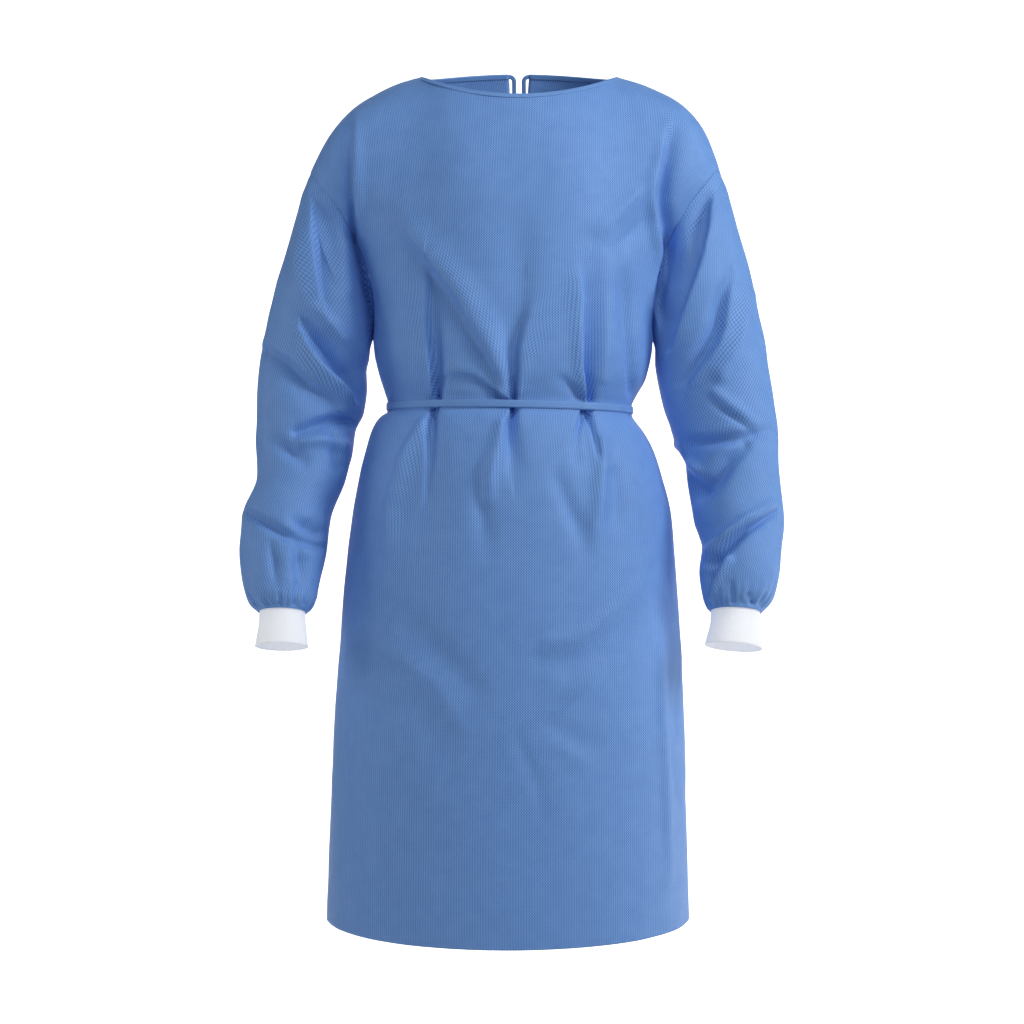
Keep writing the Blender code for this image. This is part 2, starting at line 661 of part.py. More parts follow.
def cloth_piece(name, grid, thickness, look, closed=False):
    """Loft through the rows of a grid, thickened inwards to a closed wall."""
    count = len(grid[0])
    spans = count if closed else count - 1
    vertices = [point for row in grid for point in row]
    faces = [(i * count + j, i * count + (j + 1) % count,
              (i + 1) * count + (j + 1) % count, (i + 1) * count + j)
             for i in range(len(grid) - 1) for j in range(spans)]
    mesh = bpy.data.meshes.new(name)
    mesh.from_pydata(vertices, [], faces)
    mesh.materials.append(material(look))
    mesh.shade_smooth()
    piece = bpy.data.objects.new(name, mesh)
    gown.objects.link(piece)
    wall = piece.modifiers.new("wall", "SOLIDIFY")
    wall.thickness = thickness
    wall.offset = -1
    return piece


def knot():
    """Knot of the belt, a rounded block at the centre back."""
    behind = section_point(BELT_Z, 0, BACK)
    bpy.ops.mesh.primitive_cube_add(size=1)
    piece = bpy.context.object
    piece.name = piece.data.name = "waist_knot"
    piece.data.transform(Matrix.Diagonal((*KNOT_SIZE, 1)))
    piece.location = behind + Vector((0, KNOT_SIZE[1] / 2 + 2 * SEAM_GAP, 0))
    piece.data.materials.append(material(CLOTH_LOOK))
    for collection in piece.users_collection:
        collection.objects.unlink(piece)
    gown.objects.link(piece)
    rounding = piece.modifiers.new("rounding", "BEVEL")
    rounding.width = KNOT_ROUND
    rounding.segments = 2
    return piece


for old in list(bpy.data.objects):
    bpy.data.objects.remove(old, do_unlink=True)

gown = bpy.data.collections.new("isolation_gown")
bpy.context.scene.collection.children.link(gown)

cloth_piece("front_panel", front_grid(), CLOTH, CLOTH_LOOK)
for side, word in ((LEFT, "left"), (RIGHT, "right")):
    cloth_piece("back_" + word, back_grid(side), CLOTH, CLOTH_LOOK)
    cloth_piece("sleeve_" + word, sleeve_grid(side), CLOTH, CLOTH_LOOK, closed=True)
    cloth_piece("cuff_" + word, cuff_grid(side), KNIT, KNIT_LOOK, closed=True)
cloth_piece("neck_binding", binding_grid(), CLOTH + BINDING_PROUD, CLOTH_LOOK)
cloth_piece("waist_belt", belt_grid(), TAPE, CLOTH_LOOK)
for side, word in ((LEFT, "left"), (RIGHT, "right")):
    cloth_piece("waist_end_" + word, waist_end_grid(side), TAPE, CLOTH_LOOK)
    cloth_piece("neck_tie_" + word, neck_tie_grid(side), TAPE, CLOTH_LOOK)
knot()
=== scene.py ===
"""Isolation gown as worn: blue embossed nonwoven, white rib cuffs, folded tapes."""

import math

import bmesh
import bpy
import numpy as np
from mathutils import Matrix, Vector


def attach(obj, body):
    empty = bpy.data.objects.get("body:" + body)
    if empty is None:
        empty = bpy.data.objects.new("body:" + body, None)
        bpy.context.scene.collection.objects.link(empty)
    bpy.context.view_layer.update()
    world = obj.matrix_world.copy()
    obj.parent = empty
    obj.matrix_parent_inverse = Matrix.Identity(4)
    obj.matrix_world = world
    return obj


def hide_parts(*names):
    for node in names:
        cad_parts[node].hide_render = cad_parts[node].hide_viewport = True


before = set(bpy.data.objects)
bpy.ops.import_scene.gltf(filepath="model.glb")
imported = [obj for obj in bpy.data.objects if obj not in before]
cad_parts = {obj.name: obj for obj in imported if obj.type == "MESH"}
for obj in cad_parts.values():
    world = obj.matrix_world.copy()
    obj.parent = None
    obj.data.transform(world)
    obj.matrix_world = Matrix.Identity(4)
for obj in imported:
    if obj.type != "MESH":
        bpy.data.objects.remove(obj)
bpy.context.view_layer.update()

# Front panel: one piece of nonwoven, cut from hem to shoulders and sewn at the sides, the
# shoulders and the armholes. The belt draws it in, so it breaks into pinched pleats there
# and hangs in drag folds from the armholes.
FRONT, BACK = -1, 1
LEFT, RIGHT = -1, 1
SIDES = ((LEFT, "left"), (RIGHT, "right"))
MM = 0.001
CLOTH_WALL = 0.0008  # thicker than the real cloth, which is about 0.3 mm
SEAM_GAP = 0.0003  # between two pieces at a seam
HEM_Z = -1.105
BELT_Z = -0.437
BELT_GRIP = 0.006  # the body is narrowest from this far below the belt to this far above
UNDERARM_Z = -0.345

# Level sections of the body: height, left edge, right edge, front, back
BODY_SECTIONS = (
    (HEM_Z, -0.2435, 0.2330, -0.196, 0.190),
    (-0.960, -0.2390, 0.2290, -0.188, 0.184),
    (-0.820, -0.2320, 0.2260, -0.178, 0.177),
    (-0.690, -0.2220, 0.2190, -0.167, 0.168),
    (-0.582, -0.2110, 0.2100, -0.156, 0.158),
    (-0.520, -0.2000, 0.1960, -0.148, 0.148),
    (-0.490, -0.1920, 0.1860, -0.141, 0.139),
    (-0.465, -0.1830, 0.1730, -0.133, 0.128),
    (-0.450, -0.1730, 0.1620, -0.126, 0.119),
    (BELT_Z - BELT_GRIP, -0.1640, 0.1580, -0.121, 0.114),
    (BELT_Z + BELT_GRIP, -0.1640, 0.1580, -0.121, 0.114),
    (-0.420, -0.1670, 0.1630, -0.125, 0.118),
    (-0.395, -0.1750, 0.1770, -0.132, 0.125),
    (-0.366, -0.1815, 0.1830, -0.135, 0.129),
    (UNDERARM_Z, -0.1835, 0.1850, -0.135, 0.131),
)

# Neckline, an oval loop round the base of the neck
NECK_MIDDLE_X = 0.0095
NECK_HALF_WIDTH = 0.129
NECK_REACH = {FRONT: 0.090, BACK: 0.075}
NECK_RISE = {FRONT: -0.041, BACK: 0.023}
NECK_RISE_CURVE = 1.6
NECK_SLOPE = {FRONT: math.radians(62), BACK: math.radians(66)}
NECK_SIDE_SLOPE = math.radians(21)
NECK_TURN = 0.52  # share of a panel's half width that ends at the neckline
TURN_STEP = 0.001
PANEL_END = 0.002  # the panels end this far below the neck edge, inside the binding

# Shoulder seams: where they end, and how they leave the neck and arrive there, as (x, z)
SHOULDER_TIP = {LEFT: (-0.2666, -0.1305), RIGHT: (0.2730, -0.1225)}
SHOULDER_START = {LEFT: (-0.233, -0.058), RIGHT: (0.233, -0.058)}
SHOULDER_END = {LEFT: (-0.094, -0.221), RIGHT: (0.070, -0.230)}

# Columns above the underarm: share of the half width, pull at the start, pull at the end
COLUMN_PULLS = ((0.00, 0.30, 0.26), (0.52, 0.31, 0.33), (0.76, 0.33, 0.40), (1.00, 0.36, 0.30))
ARMHOLE_LEAN = (-0.06, 0.10)
ARMHOLE_LEAN_FROM = 0.78

# Folds, one to an entry. Its points are x, z, half width and depth in millimetres, and a depth
# below zero is a ridge. The number before them is the height of a lip beside the trough as a
# share of its depth, on the left of the fold's run, or on the right if it is below zero.
FRONT_FOLDS = (
    # drag ridge from the left armhole to the middle of the waist, and the step below it
    (0, (-139, -189, 16, -2), (-118, -224, 16, -4), (-82, -264, 16, -6), (-54, -302, 15, -6.5),
     (-36, -337, 14, -6.5), (-19, -369, 12, -6), (-3, -403, 8, -4)),
    (0.3, (-158, -201, 16, 2), (-136, -236, 15, 5), (-100, -277, 13, 8), (-73, -315, 13, 9),
     (-55, -349, 12, 9), (-37, -379, 10, 8), (-18, -414, 7, 5)),
    # pleats above the belt, with the short folds and the ridge beside them
    (-0.6, (-106, -265, 17.6, 2.3), (-107, -293, 14.3, 8), (-107, -337, 11.6, 13.8),
     (-105, -369, 8.8, 16.1), (-101, -400, 6.1, 16.1), (-100, -431, 3.9, 14.9)),
    (0.3, (15, -290, 18, 1), (9, -331, 16, 7), (2, -369, 12, 12), (4, -398, 8, 13), (5, -415, 4.5, 13),
     (5, -432, 3.5, 13)),
    (0.3, (-83, -403, 7, 3), (-48, -406, 7, 6), (-23, -423, 6, 8), (-4, -435, 4.5, 7)),
    (-0.5, (97, -266, 15.4, 2.2), (94, -300, 12.1, 8.8), (92, -352, 8.8, 14.3), (92, -389, 7.2, 15.4),
     (95, -418, 4.4, 14.9), (97, -432, 3.9, 14.3)),
    (0, (119, -252, 10, -2), (120, -330, 9, -4), (117, -405, 7, -3.2)),
    (0.3, (64, -405, 6, 2), (78, -417, 5, 5), (91, -431, 3.5, 6)),
    (0, (142, -274, 9, 4), (147, -331, 9, 9), (152, -375, 8, 10), (156, -418, 6, 8)),
    # pleats below the belt, the right one with two legs and a recess between them
    (-0.4, (-102, -438, 3.5, 13), (-105, -456, 6, 12), (-106, -477, 8, 11), (-105, -502, 9, 9),
     (-107, -558, 13, 6), (-117, -608, 16, 2.5)),
    (-0.3, (1, -440, 3.5, 13), (-5, -460, 6, 11), (-5, -481, 8, 9), (-2, -502, 9, 5.8), (0, -531, 10, 2.3)),
    (0, (93, -442, 3.5, 9), (86, -462, 4, 7), (81, -483, 5, 5), (81, -508, 7, 2.9)),
    (0, (97, -442, 3.5, 9), (102, -464, 3, 6.5), (106, -486, 3, 5), (108, -504, 3.5, 3.4)),
    (0, (94, -450, 6, 5), (93, -483, 9, 4), (93, -508, 11, 2.3)),
    # small pleat at the left, and the hollow of the chest
    (0, (-167, -339, 8.4, 1.8), (-159, -421, 6.3, 3.4)),
    (0, (7, -231, 27.3, 5.2), (10, -281, 23.1, 5.2)),
    # ridge from the right armhole, and the hollow below it
    (0, (179, -149, 9.5, -3.8), (149, -175, 10.5, -7.6), (114, -214, 13.7, -4.5)),
    (0, (176, -196, 9.5, 4.2), (157, -215, 10.5, 6.1), (134, -237, 10.5, 2.4)),
    # ridges beside the pleats below the belt, and the hollows between them
    (0, (-117, -462, 5.2, -4.8), (-135, -506, 8.4, -10.5), (-151, -564, 9.5, -9.4),
     (-150, -618, 10.5, -5.5)),
    (0, (-16, -464, 5.2, -4.8), (-25, -515, 7.4, -9.4), (-32, -557, 9.5, -6)),
    (0, (-42, -522, 8.4, 3.3), (-37, -565, 10.5, 6.7), (-32, -615, 12.6, 2.8)),
    (0, (115, -482, 8.4, -4.8), (109, -558, 10.5, -8.2), (102, -607, 10.5, -3.9)),
    (0, (56, -530, 10.5, 3.3), (75, -576, 10.5, 6.7), (92, -614, 12.6, 2.8)),
    (0, (131, -526, 8.4, 4.6), (132, -583, 10.5, 3)),
    # slack across the left thigh
    (0, (-151, -689, 12.6, 3.6), (-96, -738, 14.7, 6.1), (-46, -791, 14.7, 4.2)),
    (0, (-159, -736, 9.5, -2.7), (-118, -771, 9.5, -4.8), (-87, -796, 9.5, -3.6), (-55, -844, 10.5, -2.3)),
    (0, (-164, -769, 10.5, 2.1), (-108, -828, 12.6, 3.2), (-77, -892, 12.6, 1.5)),
    # slack across the right thigh and in the middle
    (0, (41, -735, 6.3, -4.5), (81, -728, 6.3, -9), (109, -709, 6.3, -9), (137, -683, 7.4, -6.5),
     (164, -664, 8.4, -2.7)),
    (0, (32, -757, 7.4, 2.3), (71, -761, 8.4, 4.2), (109, -744, 8.4, 3), (148, -711, 9.5, 1.3)),
    (0, (56, -795, 5.2, -3), (90, -786, 5.2, -6.1), (111, -766, 5.2, -3)),
    (0, (38, -846, 5.2, -1.9), (67, -868, 5.2, -3.3), (96, -886, 6.3, -1.7)),
    (0, (40, -832, 7.4, 2.3), (75, -848, 7.4, 2.5), (107, -864, 8.4, 1.1)),
    (0, (5, -847, 8.4, 1.9), (34, -914, 9.5, 2.7), (41, -956, 9.5, 1.1)),
    # buckles and edge of the right side
    (0, (216, -776, 5.2, 2.5), (211, -815, 5.2, 3.6), (211, -856, 5.2, 2.5)),
    (0, (206, -881, 5.2, 2.5), (212, -924, 5.2, 3.4), (216, -960, 5.2, 1.7)),
    (0, (190, -748, 7, -2.5), (192, -836, 7, -5), (196, -937, 7, -5), (201, -1038, 7, -2)),
)


def smoothstep(value):
    """Ease from 0 to 1."""
    value = np.clip(value, 0.0, 1.0)
    return value * value * (3 - 2 * value)


def hermite(start, start_pull, end, end_pull, share):
    """Point of the curve that leaves start with one pull and reaches end with the other."""
    square, cube = share ** 2, share ** 3
    return (start * (2 * cube - 3 * square + 1) + start_pull * (cube - 2 * square + share)
            + end * (3 * square - 2 * cube) + end_pull * (cube - square))


def read_curve(points, key):
    """Value at a key on the smooth curve through (key, value) points.

    The curve is level at every high or low, so that it never overshoots.
    """
    keys, values = zip(*points)
    key = min(max(key, keys[0]), keys[-1])
    rises = [(end[1] - start[1]) / (end[0] - start[0]) for start, end in zip(points, points[1:])]
    inner = [0.0 if a * b <= 0 else 2 * a * b / (a + b) for a, b in zip(rises, rises[1:])]
    slopes = rises[:1] + inner + rises[-1:]
    at = sum(key > later for later in keys[1:-1])
    run = keys[at + 1] - keys[at]
    return hermite(values[at], slopes[at] * run, values[at + 1], slopes[at + 1] * run,
                   (key - keys[at]) / run)


def read_column(table, column, key):
    """Smooth value of one column of a table, at a key of its first column."""
    return read_curve([(row[0], row[column]) for row in table], key)


def section_row(z, turns, half):
    """Points of a level section. A turn is 0 at the middle of a half and -1 or 1 at its sides."""
    left, right = read_column(BODY_SECTIONS, 1, z), read_column(BODY_SECTIONS, 2, z)
    depth = read_column(BODY_SECTIONS, 3 if half == FRONT else 4, z)
    angles = np.asarray(turns, float) * math.pi / 2
    return np.stack([(left + right) / 2 + (right - left) / 2 * np.sin(angles),
                     depth * np.cos(angles), np.full_like(angles, z)], axis=-1)


def neck_point(turn, half, down):
    """Point on the neckline, or down metres below it on the cloth."""
    angle = turn / NECK_TURN * math.pi / 2
    reach = NECK_REACH[half]
    rise = NECK_RISE[half] * max(math.cos(angle), 0.0) ** NECK_RISE_CURVE
    point = np.array([NECK_MIDDLE_X + NECK_HALF_WIDTH * math.sin(angle),
                      half * reach * math.cos(angle), rise])
    outward = np.array([math.sin(angle) / NECK_HALF_WIDTH, half * math.cos(angle) / reach, 0])
    outward /= np.linalg.norm(outward)
    slope = NECK_SIDE_SLOPE + (NECK_SLOPE[half] - NECK_SIDE_SLOPE) * math.cos(angle)
    return point + down * (outward * math.cos(slope) - np.array([0, 0, math.sin(slope)]))


def shoulder_point(side, share):
    """Point of the shoulder seam, from the neck to the armhole."""
    neck = neck_point(side * NECK_TURN, FRONT, PANEL_END)
    (tip_x, tip_z), (start_x, start_z) = SHOULDER_TIP[side], SHOULDER_START[side]
    end_x, end_z = SHOULDER_END[side]
    return hermite(neck, np.array([start_x, 0, start_z]),
                   np.array([tip_x, 0, tip_z]), np.array([end_x, 0, end_z]), share)


def top_edge(turn, half):
    """Point of a panel's top edge, and the way in which the cloth arrives there."""
    if abs(turn) > NECK_TURN:
        side = RIGHT if turn > 0 else LEFT
        share = (abs(turn) - NECK_TURN) / (1 - NECK_TURN)
        return shoulder_point(side, share), np.array([0.0, -half, 0.0])
    point = neck_point(turn, half, PANEL_END)
    inward = neck_point(turn, half, 0) - point
    step = TURN_STEP * (1 if turn >= 0 else -1)
    along = point - neck_point(turn - step, half, PANEL_END)
    angle = turn / NECK_TURN * math.pi / 2
    return point, (inward / np.linalg.norm(inward) * math.cos(angle)
                   + along / np.linalg.norm(along) * abs(math.sin(angle)))


def column_points(base_turn, top_turn, half, climbs):
    """Points of a panel above the underarm, with climbs from 0 there to 1 at the top edge."""
    base = section_row(UNDERARM_Z, base_turn, half)
    top, arrival = top_edge(top_turn, half)
    side = 1 if base_turn > 0 else -1
    lean = smoothstep((abs(base_turn) - ARMHOLE_LEAN_FROM) / (1 - ARMHOLE_LEAN_FROM))
    start = np.array([lean * side * ARMHOLE_LEAN[0], lean * half * ARMHOLE_LEAN[1],
                      read_column(COLUMN_PULLS, 1, abs(base_turn))])
    end = arrival * read_column(COLUMN_PULLS, 2, abs(top_turn))
    return hermite(base, start, top, end, np.asarray(climbs, float)[..., None])


def spaced(*runs):
    """Values that run through the given ends, each run in its own number of steps."""
    values = [runs[0][0]]
    for start, end, steps in runs:
        values += list(np.linspace(start, end, steps + 1)[1:])
    return np.array(values)


# Rows and columns of a panel lie closer at the belt, in the pleats and beside the seams
ROW_HEIGHTS = spaced((HEM_Z, HEM_Z + 0.006, 3), (HEM_Z + 0.006, -0.60, 52), (-0.60, -0.48, 22),
                     (-0.48, -0.40, 32), (-0.40, UNDERARM_Z, 11))
CLIMBS = spaced((0, 0.98, 62), (0.98, 1, 6))
SEAM_SHARES = (0.004, 0.009, 0.016, 0.026)
FRONT_COLUMNS = 151
PLEAT_COLUMNS = 25  # to each pleat
PLEAT_SHARE = 0.07  # half the share of the width that a pleat takes
PLEAT_TURNS = (-0.40, 0.025, 0.405)


def grain(grid, closed=False):
    """Flat place of every point in metres: along its row from the middle, and up its column."""
    rows = np.linalg.norm(np.diff(grid, axis=1), axis=-1)
    columns = np.linalg.norm(np.diff(grid, axis=0), axis=-1)
    across = np.pad(np.cumsum(rows, axis=1), ((0, 0), (1, 0)))
    up = np.pad(np.cumsum(columns, axis=0), ((1, 0), (0, 0)))
    if not closed:
        across = across - across[:, [grid.shape[1] // 2]]
    return np.stack([across, up], axis=-1)


def unit(vectors):
    """Vectors of length 1."""
    return vectors / np.linalg.norm(vectors, axis=-1, keepdims=True)


def outward_of(grid, closed=False):
    """Outward direction at every point of a grid whose rows climb and run to the right."""
    up = np.gradient(grid, axis=0)
    if not closed:
        return unit(np.cross(np.gradient(grid, axis=1), up))
    ring = grid[:, :-1]
    along = np.roll(ring, -1, axis=1) - np.roll(ring, 1, axis=1)
    return unit(np.cross(np.concatenate([along, along[:, :1]], axis=1), up))


def fold_field(grid, folds, mirror=1):
    """Depth of a table of folds at every point, and how far their lips lap over them.

    The folds are placed as seen level from the front. A trough with a lip is steep on that side
    and gentle on the other, and the lip leans over its steep side.
    """
    x, z = grid[..., 0] * mirror, grid[..., 2]
    pressed, lapped = np.zeros(x.shape), np.zeros(grid.shape)
    for lip, *points in folds:
        nearest = np.full(x.shape, np.inf)
        left, width, depth, across_x, across_z = np.zeros((5,) + x.shape)
        points = np.array(points) * MM
        for start, end in zip(points, points[1:]):
            run_x, run_z, wider, deeper = end - start
            length = math.hypot(run_x, run_z)
            away_x, away_z = x - start[0], z - start[1]
            share = np.clip((away_x * run_x + away_z * run_z) / length ** 2, 0, 1)
            distance = np.hypot(away_x - share * run_x, away_z - share * run_z)
            closer = distance < nearest
            for kept, new in ((nearest, distance), (left, np.sign(run_x * away_z - run_z * away_x)),
                              (width, start[2] + share * wider), (depth, start[3] + share * deeper),
                              (across_x, -run_z / length), (across_z, run_x / length)):
                np.copyto(kept, new, where=closer)
        towards_lip = left * nearest * np.sign(lip)
        steep, gentle = width * (1 - abs(lip)), width * (1 + GENTLE_SIDE * abs(lip))
        pressed += depth * np.exp(-(nearest / np.where(towards_lip < 0, gentle, steep)) ** 2)
        reach = 2 * towards_lip / (steep + width) - LIP_PLACE * 2
        pressed -= LIP_SHARE * abs(lip) * depth * np.exp(-reach ** 2)
        lap = lip * (steep + width) * LIP_LEAN * np.exp(-reach ** 2) * smoothstep(depth / LAP_DEPTH)
        lapped[..., 0] -= lap * across_x * mirror
        lapped[..., 2] -= lap * across_z
    return pressed, lapped


def fold_depth(grid, normals, folds, half, mirror=1):
    """How far a table of folds presses the cloth of the front or the back in, and its laps."""
    facing = smoothstep(FACING_GAIN * half * normals[..., 1] + FACING_START)
    pressed, lapped = fold_field(grid, folds, mirror)
    return pressed * facing, lapped * facing[..., None]


def valley(grid):
    """Grid with the valleys between chest and arms, which run on over the armhole seams."""
    sunk = grid.copy()
    for half, mirror in ((FRONT, 1), (BACK, -1)):
        near = smoothstep(half * grid[..., 1] / VALLEY_RAMP)
        pressed, lapped = fold_field(grid, VALLEYS, mirror)
        sunk[..., 1] -= half * near * pressed
        sunk += near[..., None] * lapped
    return sunk


# Valleys between the chest and the arms, written as the folds are
VALLEYS = (
    # side of the chest at the left armhole, and the pocket between it and the arm
    (0.5, (-209, -64, 7, 3), (-206, -109, 8, 9), (-205, -147, 8, 13), (-205, -184, 8, 12),
     (-205, -214, 7, 5)),
    (0, (-203, -178, 6, 6), (-204, -214, 8, 20), (-201, -249, 9, 32), (-193, -278, 9.5, 40),
     (-187, -300, 9.5, 42), (-186, -328, 8, 30), (-190, -354, 6, 12)),
    # side of the chest at the right armhole
    (-0.4, (202, -84, 7, 4), (198, -110, 8, 9), (189, -154, 8, 17), (188, -176, 8, 19), (194, -206, 8, 21),
     (201, -237, 8, 25), (200, -261, 8, 28), (192, -287, 7, 34), (191, -303, 7, 30), (194, -326, 7, 18),
     (191, -361, 6, 8)),
)
VALLEY_RAMP = 0.06  # valleys fade within this distance of the body's middle plane
LIP_PLACE = 0.85  # how far a trough's lip is from its bottom
LIP_SHARE = 0.6
LIP_LEAN = 0.9  # how far a lip leans over, as a share of its own size
LAP_DEPTH = 0.009  # lips lean over in full at troughs of this depth
GENTLE_SIDE = 2.0  # how much wider a trough with a lip is on its other side
FACING_GAIN = 1.6  # folds fade where the cloth turns to the other side
FACING_START = 0.1
BELT_TILT = -0.0155  # the waist sinks towards the right
BELT_TILT_REACH = 0.05
SEAM_HOLD = 0.012  # folds fade within this distance of a seam
SEAM_SINK = {LEFT: 0.0006, RIGHT: 0.0002}  # the cloth dips into a seam
SEAM_DIP = 0.0022  # over this distance
DIP_FROM = 0.68  # share of the armhole's height below which it has no such dip
DIP_RAMP = 0.3
BELT_HOLD = 0.012  # ridges fade within this distance of the belt
RELAX_SHARE = 0.14  # the crease below the neck's corner is evened out over this share of the width
RELAX_CLIMB = 0.16
RELAX_ROUNDS = 160
RIPPLES = 16  # waves that cross in the cloth's unevenness
RIPPLE_LENGTHS = (0.035, 0.110)
RIPPLE_SUM = 0.30  # height of all the ripples together before it is set
PANEL_RIPPLE = 0.0006


def ripple(grid, seed, height):
    """Slight unevenness of limp cloth, from crossed waves."""
    chance = np.random.default_rng(seed)
    lift = np.zeros(grid.shape[:2])
    for _ in range(RIPPLES):
        way = chance.normal(size=3)
        way /= np.linalg.norm(way)
        length = chance.uniform(*RIPPLE_LENGTHS)
        lift += length * np.sin(grid @ way * 2 * math.pi / length + chance.uniform(0, 2 * math.pi))
    return lift * height / RIPPLE_SUM


def up_distance(cut):
    """Distance of every point from the top of its column."""
    return cut[-1:, :, 1] - cut[..., 1]


def seam_distance(cut, left, right):
    """Distance of every point from the top of its panel, or from a side of it that is sewn."""
    across = cut[..., 0]
    distance = up_distance(cut)
    if left:
        distance = np.minimum(distance, across - across[:, :1])
    if right:
        distance = np.minimum(distance, across[:, -1:] - across)
    return distance


def sink(points):
    """Points sunk towards the right near the waist, as the belt lies there."""
    sunk = points.copy()
    near = np.exp(-((points[..., 2] - BELT_Z) / BELT_TILT_REACH) ** 2)
    sunk[..., 2] += BELT_TILT * points[..., 0] * near
    return sunk


def relax(form, turns):
    """Even out the crease that the corner between neck and shoulder leaves below itself."""
    near = np.exp(-((np.abs(turns) - NECK_TURN) / RELAX_SHARE) ** 2)
    below_top = smoothstep((1 - CLIMBS) / RELAX_CLIMB) * smoothstep(CLIMBS / RELAX_CLIMB)
    weight = (below_top[:, None] * near)[:, 1:-1, None]
    part = form[len(ROW_HEIGHTS) - 1:]
    for _ in range(RELAX_ROUNDS):
        part[:, 1:-1] += weight * ((part[:, :-2] + part[:, 2:]) / 2 - part[:, 1:-1])
    return form


def press(form, cut, folds, half, left, right, seed):
    """Panel with its folds pressed in, ripples between them and dips along its seams.

    The words left and right say which of its sides are sewn.
    """
    normals = outward_of(form)
    distance = seam_distance(cut, left, right)
    level = smoothstep((CLIMBS[1:] - DIP_FROM) / DIP_RAMP)
    level = np.concatenate([np.ones(len(ROW_HEIGHTS)), level])
    sink_depth = np.where(form[..., 0] < 0, SEAM_SINK[LEFT], SEAM_SINK[RIGHT])
    dip = sink_depth * np.where(up_distance(cut) < distance + 1e-9, 1, level[:, None])
    free = smoothstep(distance / SEAM_HOLD)
    belt_free = smoothstep((np.abs(form[..., 2] - BELT_Z) - BELT_GRIP) / BELT_HOLD)
    pressed, lapped = fold_depth(form, normals, folds, half)
    pressed = np.where(pressed < 0, pressed * belt_free, pressed) * free
    lift = ripple(form, seed, PANEL_RIPPLE) * free * belt_free
    lift -= dip * np.exp(-(distance / SEAM_DIP) ** 2)
    return form + normals * (lift - pressed)[..., None] + lapped * free[..., None]


def linear(colour):
    """Colour in linear light from an sRGB hex value."""
    parts = [int(colour[i:i + 2], 16) / 255 for i in (1, 3, 5)]
    return [c / 12.92 if c <= 0.04045 else ((c + 0.055) / 1.055) ** 2.4 for c in parts] + [1.0]


def add_node(material, kind, values=(), **settings):
    """Add a node with its settings, fill its sockets with values or links, and give its outputs."""
    node = material.node_tree.nodes.new("ShaderNode" + kind)
    for name, value in settings.items():
        setattr(node, name, value)
    sockets = values.items() if isinstance(values, dict) else enumerate(values)
    for socket, value in sockets:
        if isinstance(value, bpy.types.NodeSocket):
            material.node_tree.links.new(value, node.inputs[socket])
        else:
            node.inputs[socket].default_value = value
    return node.outputs


def new_material(name, roughness, sheen):
    """Empty material with a Principled shader, and that shader."""
    material = bpy.data.materials.new(name)
    material.use_nodes = True
    shader = material.node_tree.nodes["Principled BSDF"]
    shader.inputs["Roughness"].default_value = roughness
    shader.inputs["IOR"].default_value = 1.5
    shader.inputs["Metallic"].default_value = 0.0
    shader.inputs["Sheen Weight"].default_value = sheen
    shader.inputs["Sheen Roughness"].default_value = 0.5
    return material, shader


def wave(material, coordinate, length):
    """Sine of a coordinate in metres, with the given wave length."""
    turns = add_node(material, "Math", (coordinate, 2 * math.pi / length), operation="MULTIPLY")
    return add_node(material, "Math", turns[:1], operation="SINE")[0]


def finish_cloth(material, shader, shade, colours, height, strength, distance):
    """Tint a cloth from its first colour to its second by a shade, and raise it by a height."""
    tint = add_node(material, "Mix", {"Factor": shade, 6: linear(colours[0]), 7: linear(colours[1])},
                    data_type="RGBA")
    bump = add_node(material, "Bump", {"Height": height, "Strength": strength, "Distance": distance})
    material.node_tree.links.new(tint[2], shader.inputs["Base Color"])
    material.node_tree.links.new(bump[0], shader.inputs["Normal"])


def nonwoven(name, colour, pit_shade_colour, pit_shade_share):
    """Spunbond polypropylene, matt with a faint sheen.

    The heated roller that bonds the fibres leaves rows of small pits in it. The real ones are
    about 1 mm apart, and they are drawn three times as coarse so that they show from this far.
    Painted shade darkens the pits and the troughs between its ribs.
    """
    material, shader = new_material(name, 0.62, 0.05)
    uv = add_node(material, "UVMap", uv_map="cut")[0]
    across, up = add_node(material, "SeparateXYZ", (uv,))[:2]
    pits = add_node(material, "Math", (wave(material, across, PIT_SPACING),
                                       wave(material, up, PIT_SPACING)), operation="MULTIPLY")[0]
    ribs = wave(material, across, RIB_SPACING)
    relief = add_node(material, "Math", (ribs, RIB_SHARE, pits), operation="MULTIPLY_ADD")[0]
    fibres, clouds = (add_node(material, "TexNoise", {"Vector": uv, "Scale": scale, "Detail": detail,
                                                      "Roughness": 0.6})[0]
                      for scale, detail in ((900.0, 3.0), (45.0, 4.0)))
    # painted shade: the low places of the pits and ribs tint towards the pit shade colour, and soft clouds
    # of density vary the rest
    shade = add_node(material, "Math", (relief, pit_shade_share, 0.5), operation="MULTIPLY_ADD")[0]
    shade = add_node(material, "Math", (clouds, CLOUD_SHARE, shade), operation="MULTIPLY_ADD")[0]
    shade = add_node(material, "Math", (shade, CLOUD_SHARE / 2), operation="SUBTRACT",
                     use_clamp=True)[0]
    height = add_node(material, "Math", (fibres, 0.5, relief), operation="MULTIPLY_ADD")[0]
    finish_cloth(material, shader, shade, (pit_shade_colour, colour), height, 0.35, 0.00035)
    return material


PIT_SPACING = 0.0033
RIB_SPACING = 0.0033
RIB_SHARE = 0.40
CLOUD_SHARE = 0.30  # how much the cloth's density varies in soft clouds
# the second colour is the painted shade in the pits
body_cloth = nonwoven("blue_spunbond_nonwoven", "#8BBDFB", "#4377CB", 0.46)


def new_piece(name, form, material):
    """Object with the mesh of a form, in one material."""
    mesh = bpy.data.meshes.new(name)
    form.to_mesh(mesh)
    form.free()
    mesh.materials.append(material)
    piece = bpy.data.objects.new(name, mesh)
    bpy.context.scene.collection.objects.link(piece)
    return piece


